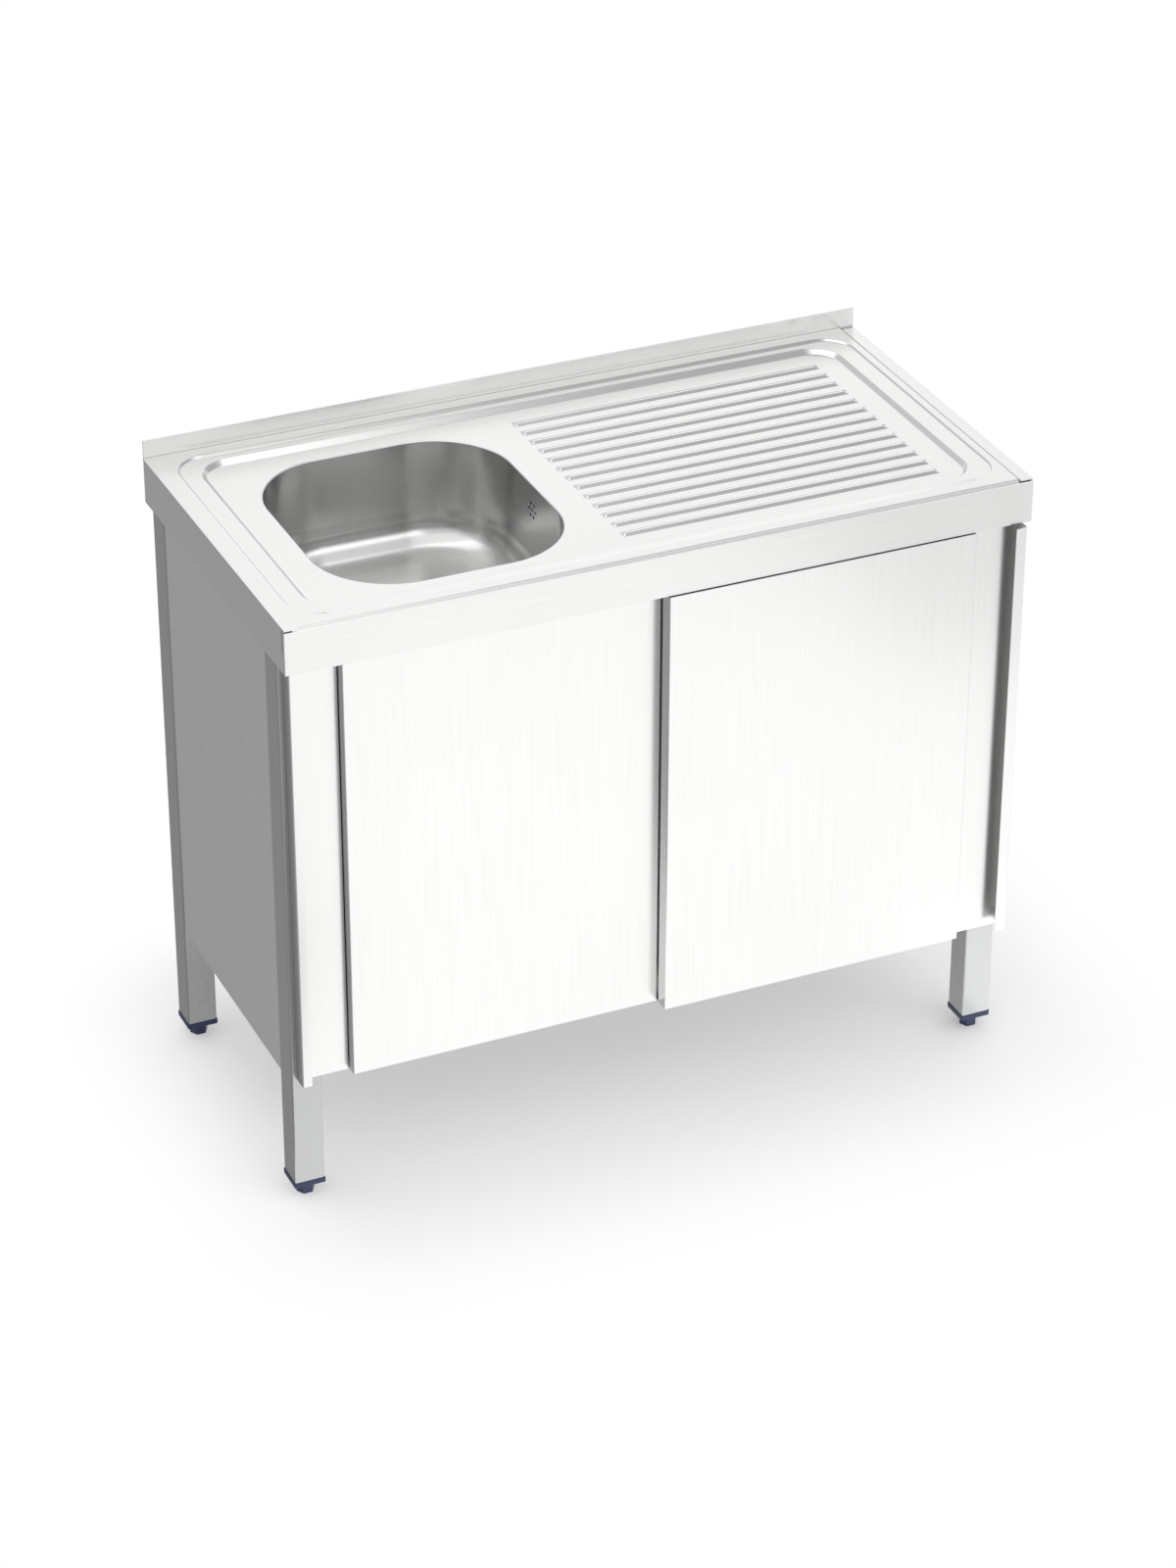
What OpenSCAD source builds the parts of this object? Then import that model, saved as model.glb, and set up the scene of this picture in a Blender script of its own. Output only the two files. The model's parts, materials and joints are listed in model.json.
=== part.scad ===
// Stainless steel sink unit with a pressed bowl, a ribbed drainer and two sliding doors.
// Millimetres. X runs along the width, Y from the front to the back, Z up from the floor.

/* [Overall] */
// Width of the worktop
unit_w = 1000; // [900:10:1400]
// Depth of the worktop, front edge to the back of the upstand
unit_d = 500; // [500:5:600]
// Height of the worktop's side rims above the floor
top_z = 840; // [820:5:900]

/* [Worktop] */
// Thickness of the pressed worktop sheet
top_t = 1; // [0.8:0.1:1.2]
// Height of the front and side aprons
apron_h = 60; // [50:1:70]
// Height of the rear apron
rear_apron_h = 40; // [30:1:60]
// Height of the rear upstand above the side rims
splash_h = 27; // [15:1:60]
// Width of the raised strip along each side
strip_w = 17; // [12:1:20]
// Height of the raised strip above the plain border
strip_h = 1; // [0.5:0.1:1.5]
// Width of the slope on the inner side of the raised strip
strip_slope = 2; // [1:0.5:4]
// Radius of the bend at the front edge
nose_r = 1.3; // [1.3:0.1:2]
// Drop of each of the two small steps before the front edge
edge_drop = 1.1; // [0.5:0.1:1.5]
// Width of the slope of those steps
edge_slope = 1.2; // [0.8:0.1:1.4]
// Distance of the lower step behind the front edge
edge_near = 3.4; // [3.3:0.1:4]
// Distance of the upper step behind the front edge
edge_far = 6.9; // [6.5:0.1:8]
// Length of the raised strip cut away behind the front edge
strip_gap = 1; // [0.5:0.1:2]
// Gap between the raised strip's rear end and the turned-up rear edge
strip_end = 1.5; // [0.5:0.1:3]
// Height of the turned-up rear edge in front of the upstand
upturn_h = 3; // [2:0.5:6]
// Width of the open seam at each front corner of the apron
seam_w = 2.5; // [0.4:0.1:4]
// Length of the open seam down the apron
seam_h = 34; // [10:1:45]
// Distance of the seam behind the front edge
seam_inset = 7.5; // [7:0.5:12]

/* [Pressed rims] */
// Plain border at each side, outside the outer step
border_side = 24.5; // [22:0.5:30]
// Plain border at the front, outside the outer step
border_front = 24; // [24:0.5:26]
// Plain border at the rear, outside the outer step
border_rear = 15.5; // [15:0.5:20]
// Drop of the outer step
step_drop = 2; // [1:0.1:3]
// Width of the outer step's slope
step_flare = 6; // [3:0.5:6.5]
// Distance from the side of the worktop to the inner slope
pan_side = 51; // [45:1:60]
// Distance from the front of the worktop to the inner slope
pan_front = 43; // [40:1:46]
// Distance from the back of the worktop to the inner slope
pan_rear = 35.5; // [34:0.5:45]
// Drop of the inner slope down to the wet area
pan_drop = 5; // [3:0.5:8]
// Width of the inner slope
pan_flare = 8; // [4:0.5:9]
// Corner radius of the outer step
step_corner_r = 45; // [35:1:50]
// Corner radius of the inner slope
pan_corner_r = 40; // [30:1:50]

/* [Drainer] */
// Number of drainer ribs
rib_count = 13; // [6:1:14]
// Distance from rib to rib
rib_pitch = 28; // [22:0.5:28]
// Width of a rib at its foot
rib_w = 14; // [10:0.5:18]
// Width of a rib at its crest
rib_crest = 3; // [2:0.5:5]
// Height of a rib
rib_h = 2; // [1:0.1:3]
// Length of the slope at each end of a rib
rib_hip = 5; // [3:0.5:8]
// Plain strip between the ribs and the inner slope at the free end
rib_end_gap = 33; // [20:1:60]
// Plain strip between the bowl and the ribs
rib_bowl_gap = 46; // [20:1:60]

/* [Bowl] */
// Inside width of the bowl
bowl_w = 325; // [280:1:360]
// Inside length of the bowl, front to back
bowl_d = 357; // [300:1:360]
// Corner radius of the bowl
bowl_r = 106; // [90:1:120]
// Depth of the bowl below the side rims
bowl_depth = 150; // [120:5:200]
// Thickness of the bowl's sheet
bowl_t = 1; // [0.8:0.1:1.2]
// Distance from the side of the worktop to the bowl
bowl_side = 100; // [80:1:140]
// Shift of the bowl's middle from the worktop's middle, front to back
bowl_shift = -3; // [-6:1:6]
// Radius of the bend between the wet area and the bowl's wall
bowl_rim_r = 2.5; // [2.5:0.5:6]
// Width of the flange that carries the bowl under the worktop
bowl_flange = 8; // [5:1:12]
// Draft of the bowl's walls
bowl_draft = 3; // [1:0.5:6]
// Width of the small ledge above the bottom curve
bowl_ledge = 2.5; // [1:0.5:4]
// Radius of the curve between wall and bottom
bowl_fillet = 38; // [30:1:50]
// Depth of the overflow holes' middle below the side rims
overflow_drop = 41.5; // [36:0.5:60]
// Radius of an overflow hole
overflow_hole_r = 2.3; // [1.5:0.1:3]
// Distance between neighbouring overflow holes
overflow_pitch = 9.3; // [7:0.1:12]

/* [Legs and feet] */
// Outside width of the square leg tube
leg_w = 40; // [36:1:45]
// Wall of the leg tube
leg_t = 1.5; // [1.2:0.1:2]
// Outer corner radius of the leg tube
leg_r = 2; // [1.6:0.1:4]
// Distance of the front legs behind the worktop's front edge
leg_front = 36; // [36:1:45]
// Distance of the rear legs before the worktop's back edge
leg_rear = 23; // [20:1:30]
// Thickness of the leg cap's visible plate
cap_plate = 7.5; // [5:0.5:12]
// Overhang of the cap plate beyond the tube
cap_over = 1; // [0.5:0.1:1.2]
// Length of the cap's plug inside the tube
cap_plug = 26; // [20:1:40]
// Height of the foot's hexagon below the cap
foot_h = 19; // [12:0.5:30]
// Corner radius of the foot's hexagon
foot_r = 12.3; // [10:0.1:15]
// Radius of the foot's threaded stem
stem_r = 5; // [4:0.5:6]
// Length of the foot's threaded stem
stem_len = 62; // [58:1:80]
// Length that a foot can be screwed out
foot_travel = 30; // [10:1:35]

/* [Cabinet] */
// Thickness of the cabinet's sheets
cab_t = 1; // [0.8:0.1:1.2]
// Height of the side panels' lower edge
panel_low = 175; // [150:1:190]
// Step of the side panels behind the face of the legs
panel_step = 1; // [0.5:0.1:3]
// Gap between a side panel and the rear leg
panel_end_gap = 1.5; // [0.3:0.1:3]
// Width of the panels' folded edges
panel_fold = 15; // [10:1:20]
// Height of the shelf above the panels' folded lower edge
shelf_rise = 25; // [20:1:40]
// Distance of the shelf behind the worktop's front edge
shelf_front = 45; // [45:1:60]
// Height of the tubes that join the legs under the worktop
rail_h = 30; // [25:1:30]
// Width of those tubes
rail_w = 20; // [15:1:25]
// Depth of the folded stiffeners under the drainer and the shelf
hat_depth = 20; // [12:1:22]
// Width of those stiffeners over both flanges
hat_w = 60; // [50:1:80]
// Width of each flange
hat_flange = 12; // [8:1:15]
// Distance of the drainer's stiffener from the foot of the inner slope
hat_end = 10; // [5:1:30]

/* [Doors] */
// Thickness of a door
door_t = 20; // [18:0.5:21]
// Outer radius of the folds at a door's upright edges
door_bend_r = 1.5; // [1.3:0.1:3]
// Distance that the front door stands ahead of the worktop's front edge
door_proud = 3.3; // [0:0.1:5]
// Gap between the two doors
door_gap = 3.6; // [3:0.1:4]
// Overlap of the two closed doors
door_overlap = 4; // [4:1:40]
// Gap between the apron and the doors' upper edge
door_top_gap = 1.5; // [1:0.1:5]
// Height of the doors' lower edge above that of the side panels
door_low_rise = 7.7; // [5:0.1:20]
// Width of the doors' folded upper and lower edges
door_fold = 5; // [3:0.5:6]
// Gap between a closed door's edge and its end cover
door_stop_gap = 0.5; // [0.3:0.1:1]
// Distance from a door's middle to each hanger
hanger_offset = 150; // [100:5:170]
// Width of a hanger plate
hanger_w = 40; // [30:1:50]
// Thickness of a hanger plate
hanger_t = 2; // [1.5:0.1:2.5]
// Depth of a hanger's crank below the door's upper edge
hanger_crank = 25; // [20:1:35]
// Length of a hanger's foot on the door's back
hanger_foot = 45; // [30:1:60]
// Distance of the hangers behind the door's front face
hanger_back = 16.3; // [16:0.1:16.8]

/* [Track and rollers] */
// Radius of a door roller
roller_r = 9; // [7:0.5:9.5]
// Width of one roller
roller_w = 4.5; // [3:0.5:4.5]
// Radius of the rollers' axle
axle_r = 2.5; // [2:0.1:3]
// Thickness of the track's sheet
track_t = 1.2; // [1:0.1:1.5]
// Clear width inside each channel of the track
channel_w = 14.2; // [14:0.1:15]
// Width of the slot under each channel
slot_w = 6; // [5:0.5:7]
// Clear height above the rollers inside the track
channel_clear = 1.6; // [1:0.1:3]
// Height of the track's lips above the doors
track_rise = 5.8; // [5:0.1:10]
// Length of a rubber stop inside the track
stop_len = 10; // [6:1:20]
// Thickness of the lower guide's bracket
guide_t = 1.5; // [1:0.1:2]
// Length of a nylon block on the lower guide
guide_len = 8; // [5:1:10]
// Height of the nylon blocks above the doors' lower edge
guide_rise = 9; // [6:1:11]
// Free height between the lower guide and the doors
guide_drop = 1.5; // [1:0.1:2]

/* [End covers] */
// Distance that the right cover stands ahead of the worktop's front edge
cover_proud = 8; // [6:0.5:12]
// Distance from the worktop's sides to the covers
cover_inset = 9.5; // [6:0.5:14]
// Width of the left cover's front lip
left_lip_w = 12.5; // [10:0.5:18]
// Width of the right cover's front lip
right_lip_w = 15; // [10:0.5:18]
// Depth of the covers between lip and web
cover_depth = 18; // [15:0.5:20]
// Height of the apron's edge above the covers' lips
lip_gap = 3; // [1:0.5:5]
// Distance from the worktop's side to the covers' inner edge
cover_reach = 78; // [70:1:90]

/* [Waste and overflow] */
// Radius of the waste hole in the bowl
waste_hole_r = 26; // [25.5:0.5:30]
// Radius of the waste flange
waste_flange_r = 35; // [33:1:45]
// Outside radius of the waste sleeve
sleeve_r = 24.5; // [22:0.5:25]
// Wall of the waste sleeve
sleeve_t = 3; // [2:0.5:4]
// Outside radius of the outlet thread
outlet_r = 23.9; // [20:0.1:24]
// Length of the outlet
outlet_len = 40; // [25:1:60]
// Length of the side branch for the overflow
branch_len = 16; // [12:1:20]
// Outside radius of the overflow pipe
pipe_r = 10; // [8:0.5:10]
// Wall of the overflow pipe
pipe_t = 1.5; // [1:0.1:2]
// Radius of the bend in the overflow pipe
pipe_bend = 30; // [20:1:35]
// Height that the plug lifts out of the waste
plug_travel = 40; // [20:1:60]

/* [Hidden] */
$fn = 64;

steel = "silver";
satin = "darkgray";
dark_steel = "gray";
navy = "midnightblue";
white_plastic = "whitesmoke";
rubber = "dimgray";

// Clearances used wherever one piece sits in or beside another
seat_gap = 0.3;
run_gap = 0.05;
weld_gap = 0.2;
root = 0.3;
join = 0.02;
edge_flange = 10;

half_w = unit_w / 2;
back_y = (unit_d + cover_proud) / 2;
front_y = back_y - unit_d;
mid_y = cover_proud / 2;
border_z = top_z - strip_h;
step_z = border_z - step_drop;
field_z = step_z - pan_drop;
apron_low = top_z - apron_h;
under_border = border_z - top_t;
under_step = step_z - top_t;
under_field = field_z - top_t;

// Outlines of the two pressed rims, each as [width, depth, middle in Y]
step_w = unit_w - 2 * border_side;
step_d = unit_d - border_front - border_rear;
step_y = mid_y + (border_front - border_rear) / 2;
pan_w = unit_w - 2 * pan_side;
pan_d = unit_d - pan_front - pan_rear;
pan_y = mid_y + (pan_front - pan_rear) / 2;

bowl_x = bowl_side + bowl_w / 2 - half_w;
bowl_y = mid_y + bowl_shift;
bowl_floor = top_z - bowl_depth;

rib_x0 = bowl_side + bowl_w + rib_bowl_gap - half_w;
rib_x1 = half_w - pan_side - pan_flare - rib_end_gap;
rib_len = rib_x1 - rib_x0;
rib_mid_y = mid_y;

leg_low = foot_h + cap_plate;
leg_high = under_step;
leg_x = half_w - top_t - 0.5 - leg_w / 2;
leg_front_y = front_y + leg_front + leg_w / 2;
leg_rear_y = back_y - leg_rear - leg_w / 2;
leg_in_x = leg_x - leg_w / 2;
leg_out_x = leg_x + leg_w / 2;
leg_face_y = leg_front_y - leg_w / 2;
bay_front_y = leg_front_y + leg_w / 2;
bay_rear_y = leg_rear_y - leg_w / 2;

panel_x = leg_out_x - panel_step;
shelf_z = panel_low + cab_t + shelf_rise;
shelf_low = panel_low + cab_t;
shelf_front_y = front_y + shelf_front;
shelf_rear_y = leg_rear_y + leg_w / 2 - 6;
shelf_x = panel_x - cab_t - 1;

door_top = apron_low - door_top_gap;
door_low = panel_low + door_low_rise;
door_h = door_top - door_low;
opening_half = half_w - cover_reach - door_stop_gap;
door_w = (2 * opening_half + door_overlap) / 2;
door_x = opening_half - door_w / 2;
right_door_y = front_y - door_proud;
left_door_y = right_door_y + door_t + door_gap;
door_slot_y = (door_t + cab_t) / 2;
fold_slot = door_t - cab_t - 2 * door_fold;

lip_z = door_top + track_rise;
lip_top_z = lip_z + track_t;
wheel_z = lip_top_z + weld_gap + roller_r;
channel_top = wheel_z + roller_r + channel_clear;
track_top = channel_top + track_t;
track_half = leg_in_x - 2.5;
track_front_y = right_door_y + hanger_back;
track_rear_y = left_door_y + hanger_back;
channel_half = channel_w / 2;

cover_low = door_low;
cover_top = lip_z - seat_gap;
cover_lip_top = apron_low - lip_gap;
left_web_y = leg_face_y - cab_t;
left_lip_y = left_web_y - cover_depth;
right_lip_y = front_y - cover_proud;
right_web_y = right_lip_y + cover_depth;

overflow_z = top_z - overflow_drop;
waste_z = bowl_floor;
seal_t = 3;
nut_h = 8;
cup_low = waste_z - 50;
branch_z = waste_z - 34;
plug_h = 14;

function arc(cx, cy, r, from, to, n) =
    [for (i = [0:n]) let (a = from + (to - from) * i / n) [cx + r * cos(a), cy + r * sin(a)]];

module rounded_rect(w, d, r) {
    square([w - 2 * r, d], center = true);
    square([w, d - 2 * r], center = true);
    for (x = [-1, 1], y = [-1, 1])
        translate([x * (w / 2 - r), y * (d / 2 - r)]) circle(r);
}

module trapezoid(low, high, h) {
    polygon([[-low / 2, 0], [low / 2, 0], [high / 2, h], [-high / 2, h]]);
}

// A profile drawn in Y and Z, run along X
module run_x(length) {
    rotate([90, 0, 90]) linear_extrude(length, center = true) children();
}

// A profile drawn in X and Z, run along Y
module run_y(length) {
    rotate([90, 0, 0]) linear_extrude(length, center = true) children();
}

// Rectangle from one corner to the opposite one
module span(a, b) {
    translate([min(a[0], b[0]), min(a[1], b[1])]) square([abs(b[0] - a[0]), abs(b[1] - a[1])]);
}

// Block from one corner to the opposite one
module block(a, b) {
    translate([min(a[0], b[0]), min(a[1], b[1]), min(a[2], b[2])])
        cube([abs(b[0] - a[0]), abs(b[1] - a[1]), abs(b[2] - a[2])]);
}

// Rounded rectangular recess, narrower at its foot by the flare on every side
module flared_pan(w, d, r, flare, h, over) {
    run_y(d - 2 * r) trapezoid(w - 2 * flare, w, h);
    run_x(w - 2 * r) trapezoid(d - 2 * flare, d, h);
    for (x = [-1, 1], y = [-1, 1])
        translate([x * (w / 2 - r), y * (d / 2 - r), 0]) cylinder(h = h, r1 = r - flare, r2 = r);
    translate([0, 0, h]) linear_extrude(over) rounded_rect(w, d, r);
}

// Outline of the worktop in Y and Z, drawn in by a wall thickness. Two small steps lead down to the front bend.
module top_profile(wall) {
    r = nose_r - wall;
    low = apron_low - (wall > 0 ? 1 : 0);
    y0 = front_y + wall;
    y1 = back_y - wall;
    z = border_z - wall;
    polygon(concat(
        [[y0, low]],
        arc(y0 + r, z - 2 * edge_drop - r, r, 180, 90, 6),
        [[y0 + edge_near, z - 2 * edge_drop], [y0 + edge_near + edge_slope, z - edge_drop],
         [y0 + edge_far, z - edge_drop], [y0 + edge_far + edge_slope, z], [y1, z], [y1, low]]
    ));
}

module pressed_rims(grow, drop) {
    over = 5;
    translate([0, step_y, step_z - drop])
        flared_pan(step_w + 2 * grow, step_d + 2 * grow, step_corner_r + grow, step_flare, step_drop, over);
    translate([0, pan_y, field_z - drop])
        flared_pan(pan_w + 2 * grow, pan_d + 2 * grow, pan_corner_r + grow, pan_flare, pan_drop, over);
}

module rib(low) {
    intersection() {
        run_x(rib_len) {
            trapezoid(rib_w, rib_crest, rib_h);
            translate([-rib_w / 2, -low]) square([rib_w, low + 0.001]);
        }
        run_y(rib_w) {
            trapezoid(rib_len, rib_len - 2 * rib_hip, rib_h);
            translate([-rib_len / 2, -low]) square([rib_len, low + 0.001]);
        }
    }
}

module ribs(z, low) {
    for (i = [0:rib_count - 1])
        translate([(rib_x0 + rib_x1) / 2, rib_mid_y + (i - (rib_count - 1) / 2) * rib_pitch, z]) rib(low);
}

module bowl_opening(grow) {
    translate([bowl_x, bowl_y, field_z - 5]) linear_extrude(10)
        rounded_rect(bowl_w + 2 * grow, bowl_d + 2 * grow, bowl_r + grow);
}

module top_sheet() {
    difference() {
        run_x(unit_w) top_profile(0);
        pressed_rims(0, 0);
        difference() {
            run_x(unit_w - 2 * top_t) top_profile(top_t);
            intersection() {
                pressed_rims(top_t, top_t);
                block([-half_w, front_y, apron_low], [half_w, back_y, border_z]);
            }
        }
        block([-half_w - 1, back_y - top_t - 1, apron_low - 2], [half_w + 1, back_y + 1, top_z - rear_apron_h]);
        bowl_opening(bowl_rim_r + weld_gap);
        for (side = [-1, 1])
            block([side * (half_w - top_t - 1), front_y + seam_inset, border_z + 1],
                  [side * (half_w + 1), front_y + seam_inset + seam_w, border_z - seam_h]);
    }
}

// Raised strip along one side. It bridges the two small steps, so a narrow gap stays open under its front end.
module side_strip(side) {
    y0 = front_y + strip_gap;
    y1 = back_y - 3 * top_t - strip_end;
    inner = half_w - strip_w;
    translate([0, (y0 + y1) / 2, 0]) run_y(y1 - y0)
        polygon([[side * (inner - strip_slope), border_z], [side * inner, top_z], [side * half_w, top_z],
                 [side * half_w, border_z - root], [side * (inner - strip_slope), border_z - root]]);
}

// Upstand folded back on itself along its top edge, welded behind the turned-up edge of the worktop
module upstand() {
    z1 = top_z + splash_h;
    run_x(unit_w) {
        span([back_y - 3 * top_t, border_z - root], [back_y - 2 * top_t, border_z + upturn_h]);
        span([back_y - 2 * top_t, border_z - top_t], [back_y, z1 - top_t]);
        translate([back_y - top_t, z1 - top_t]) intersection() {
            circle(top_t);
            translate([-top_t, 0]) square([2 * top_t, top_t]);
        }
    }
}

module worktop() {
    color(steel) difference() {
        union() {
            top_sheet();
            for (side = [-1, 1]) side_strip(side);
            upstand();
            ribs(field_z, root);
        }
        ribs(under_field, root);
    }
}

// Section through the bowl's wall: offset from the wall line, height from the wet area
function bowl_section() =
    let (
        t = bowl_t,
        depth = field_z - bowl_floor,
        wall_low = -(depth - bowl_fillet - bowl_ledge),
        fillet_x = -bowl_draft - bowl_ledge - bowl_fillet,
        fillet_z = -(depth - bowl_fillet),
        back_r = bowl_rim_r - t,
        flange_z = -top_t - t,
        flange_a = 180 - asin((bowl_rim_r + flange_z) / back_r),
        inner = concat(
            [[bowl_rim_r, 0]],
            arc(bowl_rim_r, -bowl_rim_r, bowl_rim_r, 90, 180, 8),
            [[-bowl_draft, wall_low], [-bowl_draft - bowl_ledge, wall_low - bowl_ledge]],
            arc(fillet_x, fillet_z, bowl_fillet, 0, -90, 16)
        ),
        outer = concat(
            arc(fillet_x, fillet_z, bowl_fillet + t, -90, 0, 16),
            [[t - bowl_draft - bowl_ledge, wall_low - bowl_ledge], [t - bowl_draft, wall_low]],
            arc(bowl_rim_r, -bowl_rim_r, back_r, 180, flange_a, 5),
            [[bowl_rim_r + bowl_flange, flange_z], [bowl_rim_r + bowl_flange, -top_t], [bowl_rim_r, -top_t]]
        )
    )
    concat(inner, outer);

module bowl_shell() {
    floor_inset = bowl_draft + bowl_ledge + bowl_fillet;
    for (x = [-1, 1]) {
        translate([x * (bowl_w / 2 - bowl_r), 0, 0])
            rotate([0, 0, x > 0 ? 0 : 180]) run_y(bowl_d - 2 * bowl_r)
                translate([bowl_r, 0]) polygon(bowl_section());
        translate([0, x * (bowl_d / 2 - bowl_r), 0])
            rotate([0, 0, x > 0 ? 90 : -90]) run_y(bowl_w - 2 * bowl_r)
                translate([bowl_r, 0]) polygon(bowl_section());
        for (y = [-1, 1])
            translate([x * (bowl_w / 2 - bowl_r), y * (bowl_d / 2 - bowl_r), 0])
                rotate([0, 0, x > 0 ? (y > 0 ? 0 : -90) : (y > 0 ? 90 : 180)])
                    rotate_extrude(angle = 90) translate([bowl_r, 0]) polygon(bowl_section());
    }
    translate([0, 0, bowl_floor - field_z - bowl_t]) linear_extrude(bowl_t)
        rounded_rect(bowl_w - 2 * floor_inset, bowl_d - 2 * floor_inset, bowl_r - floor_inset);
}

module overflow_holes(r) {
    for (i = [-1:1]) for (j = [0:2 - abs(i)])
        translate([bowl_w / 2 - 15, (j - (2 - abs(i)) / 2) * overflow_pitch, i * overflow_pitch * sin(60)])
            rotate([0, 90, 0]) cylinder(h = 20, r = r);
}

module sink_bowl() {
    color(steel) difference() {
        translate([bowl_x, bowl_y, field_z]) bowl_shell();
        translate([bowl_x, bowl_y, bowl_floor - bowl_t - 1]) cylinder(h = bowl_t + 2, r = waste_hole_r);
        translate([bowl_x, bowl_y, overflow_z]) overflow_holes(overflow_hole_r);
    }
}

// Folded hat section along X, its crown down and each flange at its own height
module hat_profile(y0, y1, flange, crown_z, z_front, z_rear, t) {
    span([y0, z_front - t], [y0 + flange, z_front]);
    span([y0 + flange - t, crown_z], [y0 + flange, z_front]);
    span([y0 + flange - t, crown_z], [y1 - flange + t, crown_z + t]);
    span([y1 - flange, crown_z], [y1 - flange + t, z_rear]);
    span([y1 - flange, z_rear - t], [y1, z_rear]);
}

module front_stiffener() {
    color(dark_steel) difference() {
        run_x(2 * track_half)
            hat_profile(front_y + edge_far + edge_slope + 2 * top_t, front_y + pan_front - top_t, edge_flange,
                        track_top, under_border, under_step, track_t);
        rivet_row() cylinder(h = 20, r = 1.6 + run_gap, center = true);
    }
}

module rear_stiffener() {
    color(dark_steel) run_x(2 * track_half)
        hat_profile(back_y - pan_rear + top_t, back_y - 3 * top_t - 1, edge_flange,
                    track_top, under_step, under_border, track_t);
}

module drainer_stiffener() {
    x = (rib_x0 + rib_x1) / 2;
    length = pan_d - 2 * pan_flare - 2 * hat_end;
    color(dark_steel) translate([x, pan_y, 0]) rotate([0, 0, 90]) run_x(length)
        hat_profile(-hat_w / 2, hat_w / 2, hat_flange, under_field - hat_depth, under_field, under_field, track_t);
}

module leg() {
    color(satin) translate([0, 0, leg_low]) linear_extrude(leg_high - leg_low) difference() {
        rounded_rect(leg_w, leg_w, leg_r);
        rounded_rect(leg_w - 2 * leg_t, leg_w - 2 * leg_t, leg_r - leg_t + 0.4);
    }
}

// Plastic cap: a plate below the tube and a ribbed plug inside it
module leg_cap() {
    plug_w = leg_w - 2 * leg_t - 2 * run_gap;
    plate_w = leg_w + 2 * cap_over;
    color(navy) difference() {
        union() {
            translate([0, 0, foot_h]) linear_extrude(cap_plate) rounded_rect(plate_w, plate_w, 2);
            translate([0, 0, leg_low]) linear_extrude(cap_plug) {
                circle(stem_r + 4);
                for (turn = [0, 90]) rotate(turn) square([plug_w, 3], center = true);
                difference() {
                    rounded_rect(plug_w, plug_w, 1);
                    rounded_rect(plug_w - 5, plug_w - 5, 1);
                }
            }
        }
        cylinder(h = 4 * cap_plug, r = stem_r + run_gap);
    }
}

module levelling_foot() {
    chamfer = 1.5;
    color(navy) {
        intersection() {
            cylinder(h = foot_h - seat_gap, r = foot_r, $fn = 6);
            rotate_extrude() polygon([[0, 0], [foot_r - chamfer - 0.6, 0], [foot_r, chamfer],
                                      [foot_r, foot_h], [0, foot_h]]);
        }
        translate([0, 0, foot_h - 1]) cylinder(h = stem_len, r = stem_r);
    }
}

module at_leg(side, end) {
    translate([side * leg_x, end < 0 ? leg_front_y : leg_rear_y, 0]) children();
}

module top_rail(side) {
    color(dark_steel) translate([side * (leg_out_x - rail_w / 2), (bay_front_y + bay_rear_y) / 2, 0])
        run_y(bay_rear_y - bay_front_y) translate([0, under_border - rail_h / 2]) difference() {
            square([rail_w, rail_h], center = true);
            square([rail_w - 2 * leg_t, rail_h - 2 * leg_t], center = true);
        }
}

// Side panel: a sheet between the legs with all four edges folded inwards
module side_panel(side) {
    high = under_border - rail_h - 1;
    inner = panel_x - panel_fold;
    y0 = bay_front_y;
    y1 = bay_rear_y - panel_end_gap;
    color(steel) difference() {
        block([side * panel_x, y0, panel_low], [side * inner, y1, high]);
        block([side * (panel_x - cab_t), y0 + cab_t, panel_low + cab_t], [side * (inner - 1), y1 - cab_t, high - cab_t]);
    }
}

module back_panel() {
    y1 = shelf_rear_y + 5;
    high = track_top - 4;
    color(steel) difference() {
        block([-leg_in_x, y1 - 12, shelf_z], [leg_in_x, y1, high]);
        block([cab_t - leg_in_x, y1 - 13, shelf_z + cab_t], [leg_in_x - cab_t, y1 - cab_t, high - cab_t]);
    }
}

module shelf_plan(grow) {
    difference() {
        span([-shelf_x - grow, shelf_front_y - grow], [shelf_x + grow, shelf_rear_y + grow]);
        for (side = [-1, 1]) {
            span([side * (leg_in_x - 1 - grow), front_y], [side * half_w, bay_front_y + cab_t + grow]);
            span([side * (leg_in_x - 1 - grow), back_y], [side * half_w, bay_rear_y - panel_end_gap - cab_t - grow]);
        }
    }
}

// Shelf: a plate with all edges folded down and its front and rear edges folded under
module bottom_shelf() {
    under = 14;
    color(steel) {
        difference() {
            translate([0, 0, shelf_low]) linear_extrude(shelf_z - shelf_low) shelf_plan(0);
            translate([0, 0, shelf_low - 1]) linear_extrude(shelf_z - shelf_low + 1 - cab_t) shelf_plan(-cab_t);
        }
        for (y = [shelf_front_y, shelf_rear_y - under])
            block([2 - leg_in_x, y, shelf_low], [leg_in_x - 2, y + under, shelf_low + cab_t]);
    }
}

module shelf_stiffener() {
    z = shelf_z - cab_t;
    color(dark_steel) run_x(2 * (shelf_x - cab_t))
        hat_profile(-hat_w / 2, hat_w / 2, hat_flange, z - hat_depth, z, z, cab_t);
}

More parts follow.
